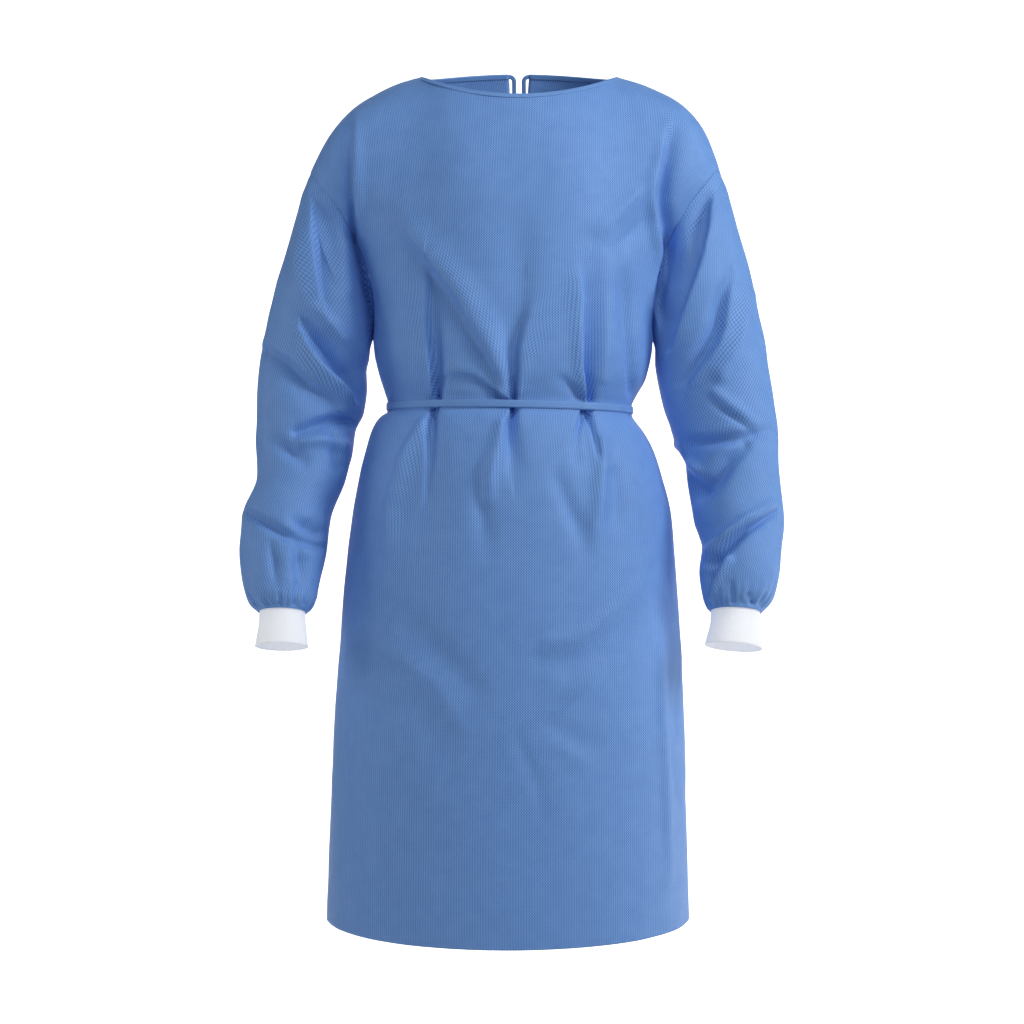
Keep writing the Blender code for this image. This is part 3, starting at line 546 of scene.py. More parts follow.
def sew(name, grid, cut, material, wall, closed=False, capped=False):
    """Sheet through the rows of a grid, with the flat places as its UV map and a thin wall.

    A closed sheet is joined along its first and last columns, and a capped one has its ends shut.
    """
    rows, columns = grid.shape[0] - 1, grid.shape[1] - 1
    form = bmesh.new()
    flat = form.loops.layers.uv.new("cut")
    bmesh.ops.create_grid(form, x_segments=columns, y_segments=rows, size=1)
    form.verts.index_update()
    places = {vert: divmod(vert.index, columns + 1) for vert in form.verts}
    for vert, place in places.items():
        vert.co = grid[place]
    for face in form.faces:
        face.smooth = True
        for loop in face.loops:
            loop[flat].uv = cut[places[loop.vert]]
    if closed:
        seam = [vert for vert, place in places.items() if place[1] in (0, columns)]
        bmesh.ops.remove_doubles(form, verts=seam, dist=0.00001)
    if capped:
        rims = [edge for edge in form.edges if edge.is_boundary]
        bmesh.ops.holes_fill(form, edges=rims, sides=0)
    form.normal_update()
    form.faces.ensure_lookup_table()
    outward = form.faces[0].normal.copy()
    bmesh.ops.recalc_face_normals(form, faces=form.faces)
    if form.faces[0].normal.dot(outward) < 0:
        bmesh.ops.reverse_faces(form, faces=form.faces)
    piece = new_piece(name, form, material)
    if wall:
        thickness = piece.modifiers.new("wall", "SOLIDIFY")
        thickness.thickness = wall
        thickness.offset = -1
    return piece


def dense_at(pleats, columns):
    """Places of the columns, with more of them in the pleats."""
    columns = [at for at in columns if all(abs(at - pleat) > PLEAT_SHARE for pleat in pleats)]
    for pleat in pleats:
        columns += list(np.linspace(pleat - PLEAT_SHARE, pleat + PLEAT_SHARE, PLEAT_COLUMNS))
    return columns


# Columns from -1 at the left side to 1 at the right
turns = dense_at(PLEAT_TURNS, np.linspace(-1, 1, FRONT_COLUMNS))
turns += [side * (1 - share) for share in SEAM_SHARES for side in (LEFT, RIGHT)]
turns = np.array(sorted(turns))
below = np.array([section_row(z, turns, FRONT) for z in ROW_HEIGHTS])
above = np.stack([column_points(turn, turn, FRONT, CLIMBS[1:]) for turn in turns], axis=1)
form = valley(relax(sink(np.concatenate([below, above])), turns))
cut = grain(form)
form = press(form, cut, FRONT_FOLDS, FRONT, True, True, 3)
front = sew("gown_front", form, cut, body_cloth, CLOTH_WALL)
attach(front, "root")
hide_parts("front_panel")


# Two back panels, left and right of the opening down the centre back: the same nonwoven as
# the front, sewn to it at the sides and shoulders, with raw edges at the opening. Their folds
# aren't seen in the photo and follow the kinds that the front has.
BACK_OPENING = ((HEM_Z, 0.010), (-0.600, 0.008), (BELT_Z, 0.006), (UNDERARM_Z, 0.008))
NECK_OPENING = 0.0138  # half the width of the opening at the back of the neck

# Columns from 0 at the centre edge to 1 at the side, closer in the two pleats
BACK_COLUMNS = dense_at((0.30, 0.62), np.linspace(0, 1, 76)) + [NECK_TURN]
BACK_COLUMNS = np.unique(np.round(BACK_COLUMNS + [1 - share for share in SEAM_SHARES], 6))
BACK_FOLDS = (
    # drag ridges and hollows from the armholes towards the knot
    (0, (-172, -178, 13.2, -2.4), (-138, -226, 14.3, -8.2), (-101, -281, 14.3, -9.1),
     (-66, -341, 12.1, -8.2), (-34, -404, 8.8, -4.8)),
    (0, (-176, -222, 14.3, 4.8), (-136, -275, 14.3, 7.7), (-92, -332, 14.3, 6.7), (-58, -392, 11, 4.8)),
    (0, (176, -171, 12.1, -2.4), (131, -221, 14.3, -7.2), (92, -288, 14.3, -8.6), (54, -362, 12.1, -7.2)),
    (0, (168, -226, 14.3, 4.3), (128, -290, 14.3, 7.2), (84, -362, 13.2, 6.7), (44, -412, 8.8, 3.8)),
    # folds below the neck ties
    (0, (-88, -96, 13.2, 1.4), (-52, -148, 15.4, 3.8), (-30, -214, 13.2, 1.9)),
    (0, (74, -92, 13.2, 1.4), (50, -162, 15.4, 4.3), (36, -228, 13.2, 1.9)),
    # pleats above the belt
    (0.3, (-66, -296, 11, 2.4), (-69, -350, 8.8, 9.6), (-71, -400, 6.1, 11.2), (-73, -428, 3.9, 12.8)),
    (0.3, (-126, -322, 9.9, 2.4), (-130, -368, 7.7, 7.2), (-132, -404, 5.5, 9), (-133, -428, 3.9, 10.5)),
    (-0.3, (60, -290, 11, 2.4), (65, -346, 8.8, 9.6), (68, -398, 6.1, 10.5), (70, -429, 3.9, 12)),
    (-0.3, (134, -310, 9.9, 2.4), (132, -362, 7.7, 7.2), (130, -404, 5.5, 9), (129, -430, 3.9, 10.5)),
    # pleats below the belt
    (0, (-73, -444, 3.9, 12.8), (-77, -480, 6.6, 9.8), (-80, -522, 9.9, 8.4), (-88, -590, 15.4, 2.9)),
    (0, (-133, -444, 3.9, 10.5), (-139, -478, 6.6, 10.8), (-146, -520, 9.9, 5.3)),
    (0, (70, -445, 3.9, 12), (72, -484, 6.6, 9), (78, -530, 9.9, 7.2), (90, -602, 15.4, 2.9)),
    (0, (129, -446, 3.9, 10.5), (134, -474, 6.1, 10.8), (142, -508, 8.8, 5.8)),
    # ridges beside them
    (0, (-96, -468, 6.6, -2.9), (-106, -520, 9.9, -6.2), (-112, -590, 12.1, -3.4)),
    (0, (-46, -476, 7.7, -2.4), (-48, -536, 11, -4.8), (-58, -606, 13.2, -2.4)),
    (0, (98, -470, 6.6, -2.9), (106, -530, 9.9, -5.8), (118, -600, 12.1, -2.9)),
    (0, (42, -480, 7.7, -2.4), (44, -548, 11, -5.3), (50, -622, 13.2, -2.4)),
    # slack over the seat
    (0, (-168, -668, 11, 1.9), (-116, -712, 14.3, 4.8), (-64, -736, 13.2, 2.9)),
    (0, (-172, -712, 9.9, -1.9), (-118, -752, 9.9, -4.3), (-60, -776, 9.9, -2.4)),
    (0, (-150, -806, 11, 1.9), (-98, -836, 13.2, 3.6), (-44, -904, 12.1, 1.7)),
    (0, (170, -700, 9.9, 1.9), (122, -738, 12.1, 4.3), (70, -750, 12.1, 2.4)),
    (0, (166, -742, 8.8, -1.7), (118, -776, 8.8, -3.8), (58, -800, 9.9, -2.2)),
    (0, (38, -846, 8.8, 1.7), (84, -880, 9.9, 3.1), (116, -930, 9.9, 1.4)),
    # buckles beside the side seams
    (0, (-221, -800, 6.6, 3.6), (-215, -842, 6.6, 7.2), (-218, -890, 6.6, 3.6)),
    (0, (212, -742, 6.6, 3.6), (206, -790, 6.6, 6.2), (210, -838, 6.6, 2.9)),
)


def turn_at(offset, half_width):
    """Turn of the point that lies this far to the side on an oval."""
    return math.asin(offset / half_width) / (math.pi / 2)


def half_width_at(z):
    """Half the width of a level section."""
    return (read_column(BODY_SECTIONS, 2, z) - read_column(BODY_SECTIONS, 1, z)) / 2


def back_turns(z):
    """Turns of a back panel's columns on a level section, outside the centre opening."""
    start = turn_at(read_column(BACK_OPENING, 1, z), half_width_at(z))
    return start + (1 - start) * BACK_COLUMNS


def back_top_turn(column):
    """Turn of a back panel's column on the top edge, outside the opening at the neck."""
    start = turn_at(NECK_OPENING, NECK_HALF_WIDTH) * NECK_TURN
    if column >= NECK_TURN:
        return column
    return start + (NECK_TURN - start) * column / NECK_TURN


def back_form(side):
    """Outer face of one back panel, with its columns running to the right from behind."""
    below = np.array([section_row(z, side * back_turns(z), BACK) for z in ROW_HEIGHTS])
    above = np.stack([column_points(side * start, side * back_top_turn(column), BACK, CLIMBS[1:])
                      for start, column in zip(back_turns(UNDERARM_Z), BACK_COLUMNS)], axis=1)
    form = np.concatenate([below, above])
    return form[:, ::-1] if side == RIGHT else form


for side, word in SIDES:
    columns = BACK_COLUMNS[::-1] if side == RIGHT else BACK_COLUMNS
    form = valley(relax(sink(back_form(side)), columns))
    cut = grain(form)
    form = press(form, cut, BACK_FOLDS, BACK, side == RIGHT, side == LEFT, 11 + side)
    back = sew("gown_back_" + word, form, cut, body_cloth, CLOTH_WALL)
    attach(back, "root")
    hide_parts("back_" + word)


# Neck binding: one narrow tape of the same cloth, folded over the raw edge of the neck and
# stitched through near its lower edge, round the front and both sides of the back.
BINDING_WIDTH = 0.007
BINDING_WALL = 0.00055
BINDING_FACE = 0.0008  # its outer layer lies this far off the neckline's surface
BINDING_FOLD = 0.0012  # radius of the fold over the raw edge
BINDING_SEAM = 0.0015  # height of its stitches over its lower edge
TAPE_SIDES = 16  # points round a tape
TAPE_FLAT = 1.8  # how soon a tape's flat faces turn into its rounded edges
END_ROUND = 0.0004  # rounding at a tape's cut end

# Folding presses the cloth's pits flat, so the tape has less painted shade in them. The thread of
# spun polyester is smoother than the cloth and catches a little more light.
tape_cloth = nonwoven("folded_spunbond_tape", "#7FB1F0", "#5A8BD3", 0.20)
thread, thread_shader = new_material("blue_polyester_thread", 0.5, 0.2)
thread_shader.inputs["Base Color"].default_value = linear("#8DB2E6")


def tape(name, path, outward, width, wall):
    """Folded tape along a path, with rounded edges and closed ends, its face turned outward."""
    along = unit(np.gradient(path, axis=0))
    start, end = path[0] + along[0] * END_ROUND, path[-1] - along[-1] * END_ROUND
    path = np.concatenate([path[:1], [start], path[1:-1], [end], path[-1:]])
    outward = np.concatenate([outward[:1], outward[:1], outward[1:-1], outward[-1:], outward[-1:]])
    along = unit(np.gradient(path, axis=0))
    across = unit(np.cross(along, outward))
    face = np.cross(across, along)
    shrink = np.zeros(len(path))
    shrink[[0, -1]] = END_ROUND
    angles = np.linspace(0, 2 * math.pi, TAPE_SIDES + 1)
    straight = np.clip(np.cos(angles) * TAPE_FLAT, -1, 1)
    wide = straight * (width - wall) / 2 + np.cos(angles) * (wall / 2 - shrink[:, None])
    thick = np.sin(angles) * (wall / 2 - shrink[:, None])
    grid = path[:, None] + across[:, None] * wide[..., None] + face[:, None] * thick[..., None]
    return sew(name, grid, grain(grid, True), tape_cloth, 0, closed=True, capped=True)


def lengths_of(path):
    """Distance along a path of every point on it."""
    return np.concatenate([[0], np.cumsum(np.linalg.norm(np.diff(path, axis=0), axis=1))])


def read_path(values, lengths, at):
    """Values of a path at distances along it."""
    return np.stack([np.interp(at, lengths, column) for column in values.T], axis=-1)


def stitches(name, path, outward):
    """Row of short threads along a path, each sunk into the cloth at its ends."""
    form = bmesh.new()
    lengths = lengths_of(path)
    at = np.arange(STITCH_PITCH / 2, lengths[-1], STITCH_PITCH)
    along = unit(np.gradient(path, axis=0))
    for point, run, out in zip(*(read_path(values, lengths, at) for values in (path, along, outward))):
        run, out = Vector(run), Vector(out)
        side = out.cross(run).normalized()
        turn = Matrix((run, side, run.cross(side))).transposed().to_4x4()
        size = Matrix.Diagonal((STITCH_LENGTH / 2, STITCH_SIZE / 2, STITCH_SIZE / 2, 1))
        bmesh.ops.create_icosphere(form, subdivisions=2, radius=1,
                                   matrix=Matrix.Translation(Vector(point)) @ turn @ size)
    for face in form.faces:
        face.smooth = True
    piece = new_piece(name, form, thread)
    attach(piece, "root")
    return piece


STITCH_PITCH = 0.0032
STITCH_LENGTH = 0.0024
STITCH_SIZE = 0.0006  # twice the real thread, so that it shows
start = back_top_turn(0.0)
round_neck = [(-turn, BACK) for turn in np.linspace(start, NECK_TURN, 45)]
round_neck += [(turn, FRONT) for turn in np.linspace(-NECK_TURN, NECK_TURN, 130)[1:-1]]
round_neck += [(turn, BACK) for turn in np.linspace(NECK_TURN, start, 45)]
upper = np.array([neck_point(turn, half, 0) for turn, half in round_neck])
lower = np.array([neck_point(turn, half, BINDING_WIDTH) for turn, half in round_neck])
outward = unit(np.cross(np.gradient(upper, axis=0), upper - lower))
upward = unit(upper - lower)
rounding = np.linspace(0, math.pi, 9)
rise = np.concatenate([np.linspace(0, BINDING_WIDTH - BINDING_FOLD, 6)[:-1],
                       BINDING_WIDTH - BINDING_FOLD * (1 - np.sin(rounding)),
                       np.linspace(BINDING_WIDTH - BINDING_FOLD, 0, 6)[1:]])
off = np.concatenate([np.full(5, BINDING_FACE), BINDING_FACE - BINDING_FOLD * (1 - np.cos(rounding)),
                      np.full(5, BINDING_FACE - 2 * BINDING_FOLD)])
grid = lower + upward * rise[:, None, None] + outward * off[:, None, None]
binding = sew("neck_binding_tape", grid, grain(grid), tape_cloth, BINDING_WALL)
sewn = lower + upward * BINDING_SEAM + outward * BINDING_FACE
binding_thread = stitches("neck_binding_stitches", sewn, outward)
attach(binding, "root")
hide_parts("neck_binding")


# Neck ties: the free ends of the binding, of the same folded cloth. They turn down at the
# centre back and hang there over the panels' edges.
TAPE_WALL = 0.0015
TIE_WIDTH = 0.0058
TIE_BEND = 0.0066  # radius in which a tie turns down
TIE_TUCK = 0.0026  # a tie starts this far back, inside the binding's fold
TIE_LENGTH = {LEFT: 0.270, RIGHT: 0.285}
TIE_SWAY = {LEFT: 0.004, RIGHT: -0.005}
TIE_WAVES = 1.2  # waves of that sway from top to end
TIE_CLEAR = 0.0032  # a tie hangs this far off the cloth
TIE_LIFT_LENGTH = 0.030  # length over which it leaves the cloth
back_line = np.concatenate([[neck_point(0, BACK, 0)],
                            column_points(0, 0, BACK, np.linspace(1, 0, 61))])
back_lengths = lengths_of(back_line)
back_along = np.gradient(back_line, axis=0)
back_outward = unit(np.stack([back_along[:, 0], -back_along[:, 2], back_along[:, 1]], axis=-1))
for side, word in SIDES:
    bend = np.linspace(0, math.pi / 2, 13)
    below = BINDING_WIDTH / 2 + TIE_BEND
    hang = np.linspace(0, 1, 70)[1:]
    inset = np.concatenate([[-TIE_TUCK], TIE_BEND * np.sin(bend), TIE_BEND + TIE_SWAY[side] * hang
                            * np.sin(TIE_WAVES * 2 * math.pi * hang)])
    length = np.concatenate([[BINDING_WIDTH / 2], BINDING_WIDTH / 2 + TIE_BEND * (1 - np.cos(bend)),
                             below + (TIE_LENGTH[side] - below) * hang])
    point, outward = (read_path(values, back_lengths, length) for values in (back_line, back_outward))
    lift = TIE_CLEAR * smoothstep((length - BINDING_WIDTH / 2) / TIE_LIFT_LENGTH)
    path = point + outward * (lift - TAPE_WALL / 2)[:, None]
    path[:, 0] = NECK_MIDDLE_X + side * (NECK_OPENING - 2 * SEAM_GAP - inset)
    tie = tape("neck_tie_tape_" + word, path, outward, TIE_WIDTH, TAPE_WALL)
    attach(tie, "root")
    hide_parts("neck_tie_" + word)


# Sleeves: one piece of the same nonwoven each, rolled to a tube and seamed along the top of
# the arm, set into the low armhole and gathered into the cuff.

# Ovals from below the armhole to the wrist: outer x, outer z, inner x and inner z on the left,
# the same on the right, and for both sides the middle y, half the depth and the tilt in degrees
SLEEVE_OVALS = (
    ((-0.2790, -0.164, -0.1870, -0.358), (0.2850, -0.153, 0.1890, -0.360), (0.000, 0.070, 0)),
    ((-0.2930, -0.215, -0.1890, -0.371), (0.2960, -0.194, 0.1895, -0.377), (0.002, 0.074, 0)),
    ((-0.3090, -0.266, -0.1930, -0.388), (0.3110, -0.246, 0.1925, -0.398), (0.004, 0.075, 0)),
    ((-0.3230, -0.322, -0.1920, -0.411), (0.3230, -0.299, 0.1985, -0.427), (0.005, 0.072, 0)),
    ((-0.3335, -0.377, -0.1960, -0.441), (0.3350, -0.352, 0.2080, -0.458), (0.004, 0.069, 3)),
    ((-0.3360, -0.429, -0.2065, -0.467), (0.3420, -0.405, 0.2180, -0.488), (-0.002, 0.066, 6)),
    ((-0.3365, -0.476, -0.2100, -0.499), (0.3470, -0.457, 0.2285, -0.510), (-0.012, 0.063, 9)),
    ((-0.3320, -0.528, -0.2180, -0.531), (0.3490, -0.513, 0.2300, -0.538), (-0.024, 0.060, 12)),
    ((-0.3495, -0.581, -0.2350, -0.578), (0.3520, -0.577, 0.2365, -0.583), (-0.040, 0.060, 14)),
    ((-0.3510, -0.619, -0.2380, -0.619), (0.3480, -0.619, 0.2450, -0.619), (-0.055, 0.057, 15)),
    ((-0.3460, -0.660, -0.2460, -0.662), (0.3420, -0.655, 0.2400, -0.652), (-0.071, 0.052, 15)),
    ((-0.3360, -0.689, -0.2520, -0.688), (0.3330, -0.683, 0.2440, -0.681), (-0.083, 0.044, 15)),
    ((-0.3224, -0.701, -0.2616, -0.701), (0.3169, -0.702, 0.2521, -0.699), (-0.089, 0.0309, 15)),
)
CUFF_OVALS = (
    ((-0.3209, -0.696, -0.2631, -0.696), (0.3156, -0.697, 0.2534, -0.694), (-0.0877, 0.0296, 15)),
    ((-0.3210, -0.712, -0.2620, -0.712), (0.3155, -0.713, 0.2525, -0.709), (-0.0920, 0.0290, 15)),
    ((-0.3244, -0.743, -0.2575, -0.743), (0.3160, -0.747, 0.2434, -0.740), (-0.1050, 0.0300, 15)),
)
ARMHOLE_PULL = 1.1  # how straight the sleeve leaves the armhole
ARMHOLE_INSIDE = 0.985  # turn at which the panels' run into the armhole is measured
UPPER_FROM = 0.35  # share of the armhole's height above which the sleeve carries on that run
PLACE_STEP = 0.05  # step in which its run at the first oval is measured
CUFF_SEAM = 0.33  # place along the cuff's ovals where the sleeve ends on it
CUFF_CLEAR = 0.0016  # the sleeve's face ends this far off the cuff
GATHERS = 26  # gathers where the sleeve meets the cuff
GATHER_DEPTH = 0.0007
SLEEVE_HOLD = 0.030  # a sleeve's folds fade within this distance of the armhole
ALLOWANCE_SINK = 0.0011  # at the armhole the sleeve turns in by this much
SEAM_ALLOWANCE = 0.0030  # and runs on inside the panels for this far
SEAM_ANGLE = 0.43  # where the seam runs, from the outer line towards the front
SEAM_REACH = 0.08  # angle to each side of it in which columns lie closer
SEAM_CLEAR = 0.09  # angle to each side of it that the even columns keep off
SEAM_COLUMNS = 15
SLEEVE_COLUMNS = 151
SEAM_RADIUS = 0.07  # of the sleeve there
SEAM_GROOVE = (0.0007, 0.0009)  # depth and half width
SEAM_EDGE = (0.0005, 0.0012, 0.0022)  # height, half width and place of the turned edge beside it
SLEEVE_RIPPLE = 0.0007
GATHER_FROM = 11  # place along the ovals where the gathers begin
GATHER_RAMPS = (1.6, 0.35)  # how far they take to rise, and to end at the cuff
GATHER_DRIFT = (1.6, 3)  # how far they crowd together, and how many times round
CUFF_HOLD = 0.006  # a sleeve's folds fade within this distance of the cuff
SLEEVE_FOLDS = {LEFT: (
    # ridge and hollow down the upper arm, and the ridge at the pocket beside the chest
    (0, (-267, -161, 8, -0.5), (-268, -195, 9, -4), (-274, -231, 9, -8), (-275, -259, 10, -8),
     (-269, -290, 10, -4)),
    (-0.6, (-259, -151, 8, 1), (-256, -176, 10, 6), (-253, -217, 12, 11), (-249, -252, 12, 12),
     (-245, -282, 11, 8), (-241, -301, 9, 3)),
    (0, (-220, -193, 8, -3), (-217, -222, 8, -6), (-214, -255, 8, -6), (-208, -284, 7, -4)),
    # hook fold at the elbow with its two ridges, and the hollow outside it
    (-0.6, (-270, -333, 6, 7), (-257, -357, 8, 12), (-240, -380, 9, 15), (-220, -401, 9, 16),
     (-206, -419, 7, 7), (-197, -434, 6, 0)),
    (0, (-277, -340, 6, -5), (-263, -365, 7, -6), (-246, -388, 8, -7), (-226, -409, 8, -6),
     (-212, -424, 7, -3), (-203, -434, 5, 0)),
    (0, (-257, -309, 7, -4), (-239, -322, 8, -7), (-218, -349, 8, -5)),
    (0.3, (-322, -361, 9, 6), (-290, -381, 11, 11), (-269, -404, 11, 12), (-247, -421, 10, 8),
     (-230, -435, 8, 4)),
    # fold inside the elbow, the ridge below it and two hollows
    (0, (-276, -470, 7.4, 10), (-252, -461, 7.4, 12.2), (-228, -455, 7.4, 13.7), (-208, -456, 6.3, 10.6)),
    (0, (-271, -483, 6.3, -5.5), (-241, -480, 8.4, -10.6), (-220, -485, 8.4, -7.3)),
    (0, (-306, -481, 8.4, 5.5), (-284, -495, 9.5, 10.8), (-266, -507, 8.4, 5.5)),
    (0, (-232, -471, 5.2, 6.7), (-228, -491, 6.3, 9.5), (-223, -514, 6.3, 5.5)),
    # fold across the forearm, with the pocket above it and the hollows below it
    (0, (-345, -571, 5.2, 6.7), (-318, -584, 6.3, 10.6), (-288, -601, 6.3, 11.6), (-263, -610, 6.3, 10.6),
     (-240, -618, 5.2, 8.5)),
    (0, (-276, -584, 6.3, 3.8), (-261, -591, 8.4, 12.4), (-246, -600, 7.4, 10)),
    (0, (-304, -613, 6.3, 3.8), (-299, -634, 7.4, 8), (-296, -659, 7.4, 3.8)),
    (0, (-271, -616, 6.3, 5.5), (-266, -637, 8.4, 10.6), (-264, -665, 8.4, 5.5)),
    # crease and gathers into the cuff
    (0, (-269, -664, 3.2, 2.6), (-271, -677, 3.2, 4.3), (-274, -690, 2.6, 4.1)),
    (0, (-337, -675, 3.2, 1.7), (-326, -686, 3.2, 3.5), (-317, -694, 2.6, 2.8)),
    (0, (-310, -677, 3.2, 1.5), (-306, -691, 3.2, 2.9)),
    (0, (-291, -678, 3.2, 1.3), (-291, -691, 3.2, 2.4)),
    (0, (-257, -674, 3.2, 1.7), (-262, -689, 2.6, 2.7)),
), RIGHT: (
    # long hollow of the upper arm
    (0.3, (259, -146, 8, 1), (252, -173, 9, 7), (247, -207, 9, 13), (239, -241, 9, 13), (231, -265, 9, 13),
     (220, -295, 9, 12), (209, -328, 9, 9), (202, -357, 7, 5)),
    # fold above the elbow, and the ridge outside it
    (0.3, (282, -269, 8, 4), (275, -294, 9, 11), (271, -314, 10, 14), (268, -335, 10, 15),
     (259, -354, 10, 15), (245, -375, 10, 13), (222, -405, 8, 6), (222, -413, 7, 1)),
    (0, (313, -289, 8.4, -4.2), (295, -350, 9.5, -8.2), (268, -395, 9.5, -8.2)),
    # sharp crease of the elbow, the ridge above it and the soft fold below it
    (0, (253, -426, 3.2, 2.2), (270, -442, 3.7, 4.4), (285, -452, 3.7, 4.8), (302, -465, 3.7, 3.4),
     (315, -472, 3.2, 1.6)),
    (0, (261, -419, 6.3, -3.4), (284, -437, 7.4, -4.8), (312, -458, 6.3, -2.6)),
    (0, (232, -483, 7.4, 8.3), (252, -482, 7.4, 11.5), (279, -479, 7.4, 11.5), (308, -475, 6.3, 8.2),
     (334, -465, 5.2, 4.3)),
    # lapping ridge, and the pocket below it
    (0, (213, -487, 5.2, 0), (220, -495, 5.2, -5), (228, -505, 5.2, -9.4), (239, -518, 5.2, -9.4)),
    (0, (216, -511, 5.2, 9.8), (226, -530, 8.4, 16.3), (239, -547, 10.5, 19.6), (259, -532, 9.5, 17.5),
     (277, -508, 8.4, 13.9), (299, -489, 7.4, 8.3)),
    # curved fold of the forearm, and the ridge above it
    (0, (336, -573, 4.2, 7), (319, -583, 5.2, 9.8), (297, -594, 5.2, 13.6), (282, -607, 5.2, 15.7),
     (266, -624, 5.2, 13.6), (248, -638, 4.2, 7.9)),
    (0, (329, -563, 6.3, -6.1), (298, -581, 7.4, -10.3), (273, -601, 7.4, -10.3), (252, -623, 6.3, -8.2)),
    # pocket and ridge at the inner side
    (0, (259, -633, 5.2, 9.6), (249, -656, 7.4, 13.8), (244, -680, 6.3, 11.6)),
    (0, (272, -633, 5.2, -7.6), (257, -658, 5.2, -9.6), (249, -682, 4.2, -7)),
    # dimples and gathers into the cuff
    (0, (274, -664, 4.2, 2.7), (275, -674, 4.2, 4.5), (278, -686, 3.2, 3.5)),
    (0, (298, -678, 4.2, 2.7), (302, -688, 4.2, 4.3)),
    (0, (260, -684, 3.2, 2.1), (262, -693, 3.2, 2.9)),
    (0, (287, -683, 3.2, 1.7), (289, -692, 3.2, 2.7)),
    (0, (319, -679, 3.2, 1.7), (314, -690, 3.2, 2.9)),
)}


def ring(values, angles):
    """Points of an oval of a sleeve or cuff. Angle 0 is the outer line, and they run over the front."""
    outer_x, outer_z, inner_x, inner_z, middle_y, half_depth, tilt = values
    outer, inner = np.array([outer_x, middle_y, outer_z]), np.array([inner_x, middle_y, inner_z])
    lean = math.radians(tilt)
    forward = np.array([0, -math.cos(lean), math.sin(lean)])
    return ((outer + inner) / 2 + np.cos(angles)[:, None] * (outer - inner) / 2
            + np.sin(angles)[:, None] * forward * half_depth)


def oval_ring(ovals, side, place, angles):
    """Ring of a sleeve or cuff at a place along its ovals."""
    rows = [(left if side == LEFT else right) + both for left, right, both in ovals]
    return ring([read_curve(list(enumerate(column)), place) for column in zip(*rows)], angles)


def armhole_ring(side, turn, angles):
    """Ring of the armhole, where the panels end at turn 1."""
    climbs = (1 + np.cos(angles)) / 2
    front, back = (column_points(side * turn, side * turn, half, climbs) for half in (FRONT, BACK))
    return np.where((angles <= math.pi)[:, None], front, back)


def sleeve_form(side):
    """Outer face of a sleeve, with rows that climb from the cuff to the armhole."""
    angles = SLEEVE_ANGLES
    armhole = armhole_ring(side, 1.0, angles)
    first = oval_ring(SLEEVE_OVALS, side, 0, angles)
    smooth = unit(armhole - armhole_ring(side, ARMHOLE_INSIDE, angles))
    smooth = smooth * np.linalg.norm(first - armhole, axis=-1, keepdims=True)
    upper = smoothstep(((1 + np.cos(angles)) / 2 - UPPER_FROM) / UPPER_FROM)[:, None]
    leaving = (smooth * upper + (first - armhole) * (1 - upper)) * ARMHOLE_PULL
    onward = (oval_ring(SLEEVE_OVALS, side, PLACE_STEP, angles) - first) / PLACE_STEP
    rows = []
    for place in SLEEVE_PLACES:
        rows.append(hermite(armhole, leaving, first, onward, place) if place < 1
                    else oval_ring(SLEEVE_OVALS, side, place - 1, angles))
    under = (((1 - np.cos(angles)) / 2) ** 2)[:, None]
    away = unit(rows[1] - rows[0]) * (1 - under) + np.array([side, 0, 0]) * under
    rows[0] = rows[0] + unit(away) * SEAM_GAP
    seam = oval_ring(CUFF_OVALS, side, CUFF_SEAM, angles)
    rows[-1] = seam + unit(seam - seam[:-1].mean(axis=0)) * CUFF_CLEAR
    grid = np.array(rows)[::-1]
    return grid[:, ::-1] if side == RIGHT else grid


def sleeve_cut(form):
    """Flat place of every point of a sleeve: round it and along it, square to its middle line."""
    axis = unit(form[-1].mean(axis=0) - form[0].mean(axis=0))
    steps = np.diff(form, axis=1)
    steps = steps - (steps @ axis)[..., None] * axis
    across = np.pad(np.cumsum(np.linalg.norm(steps, axis=-1), axis=1), ((0, 0), (1, 0)))
    return np.stack([across, form @ axis], axis=-1)


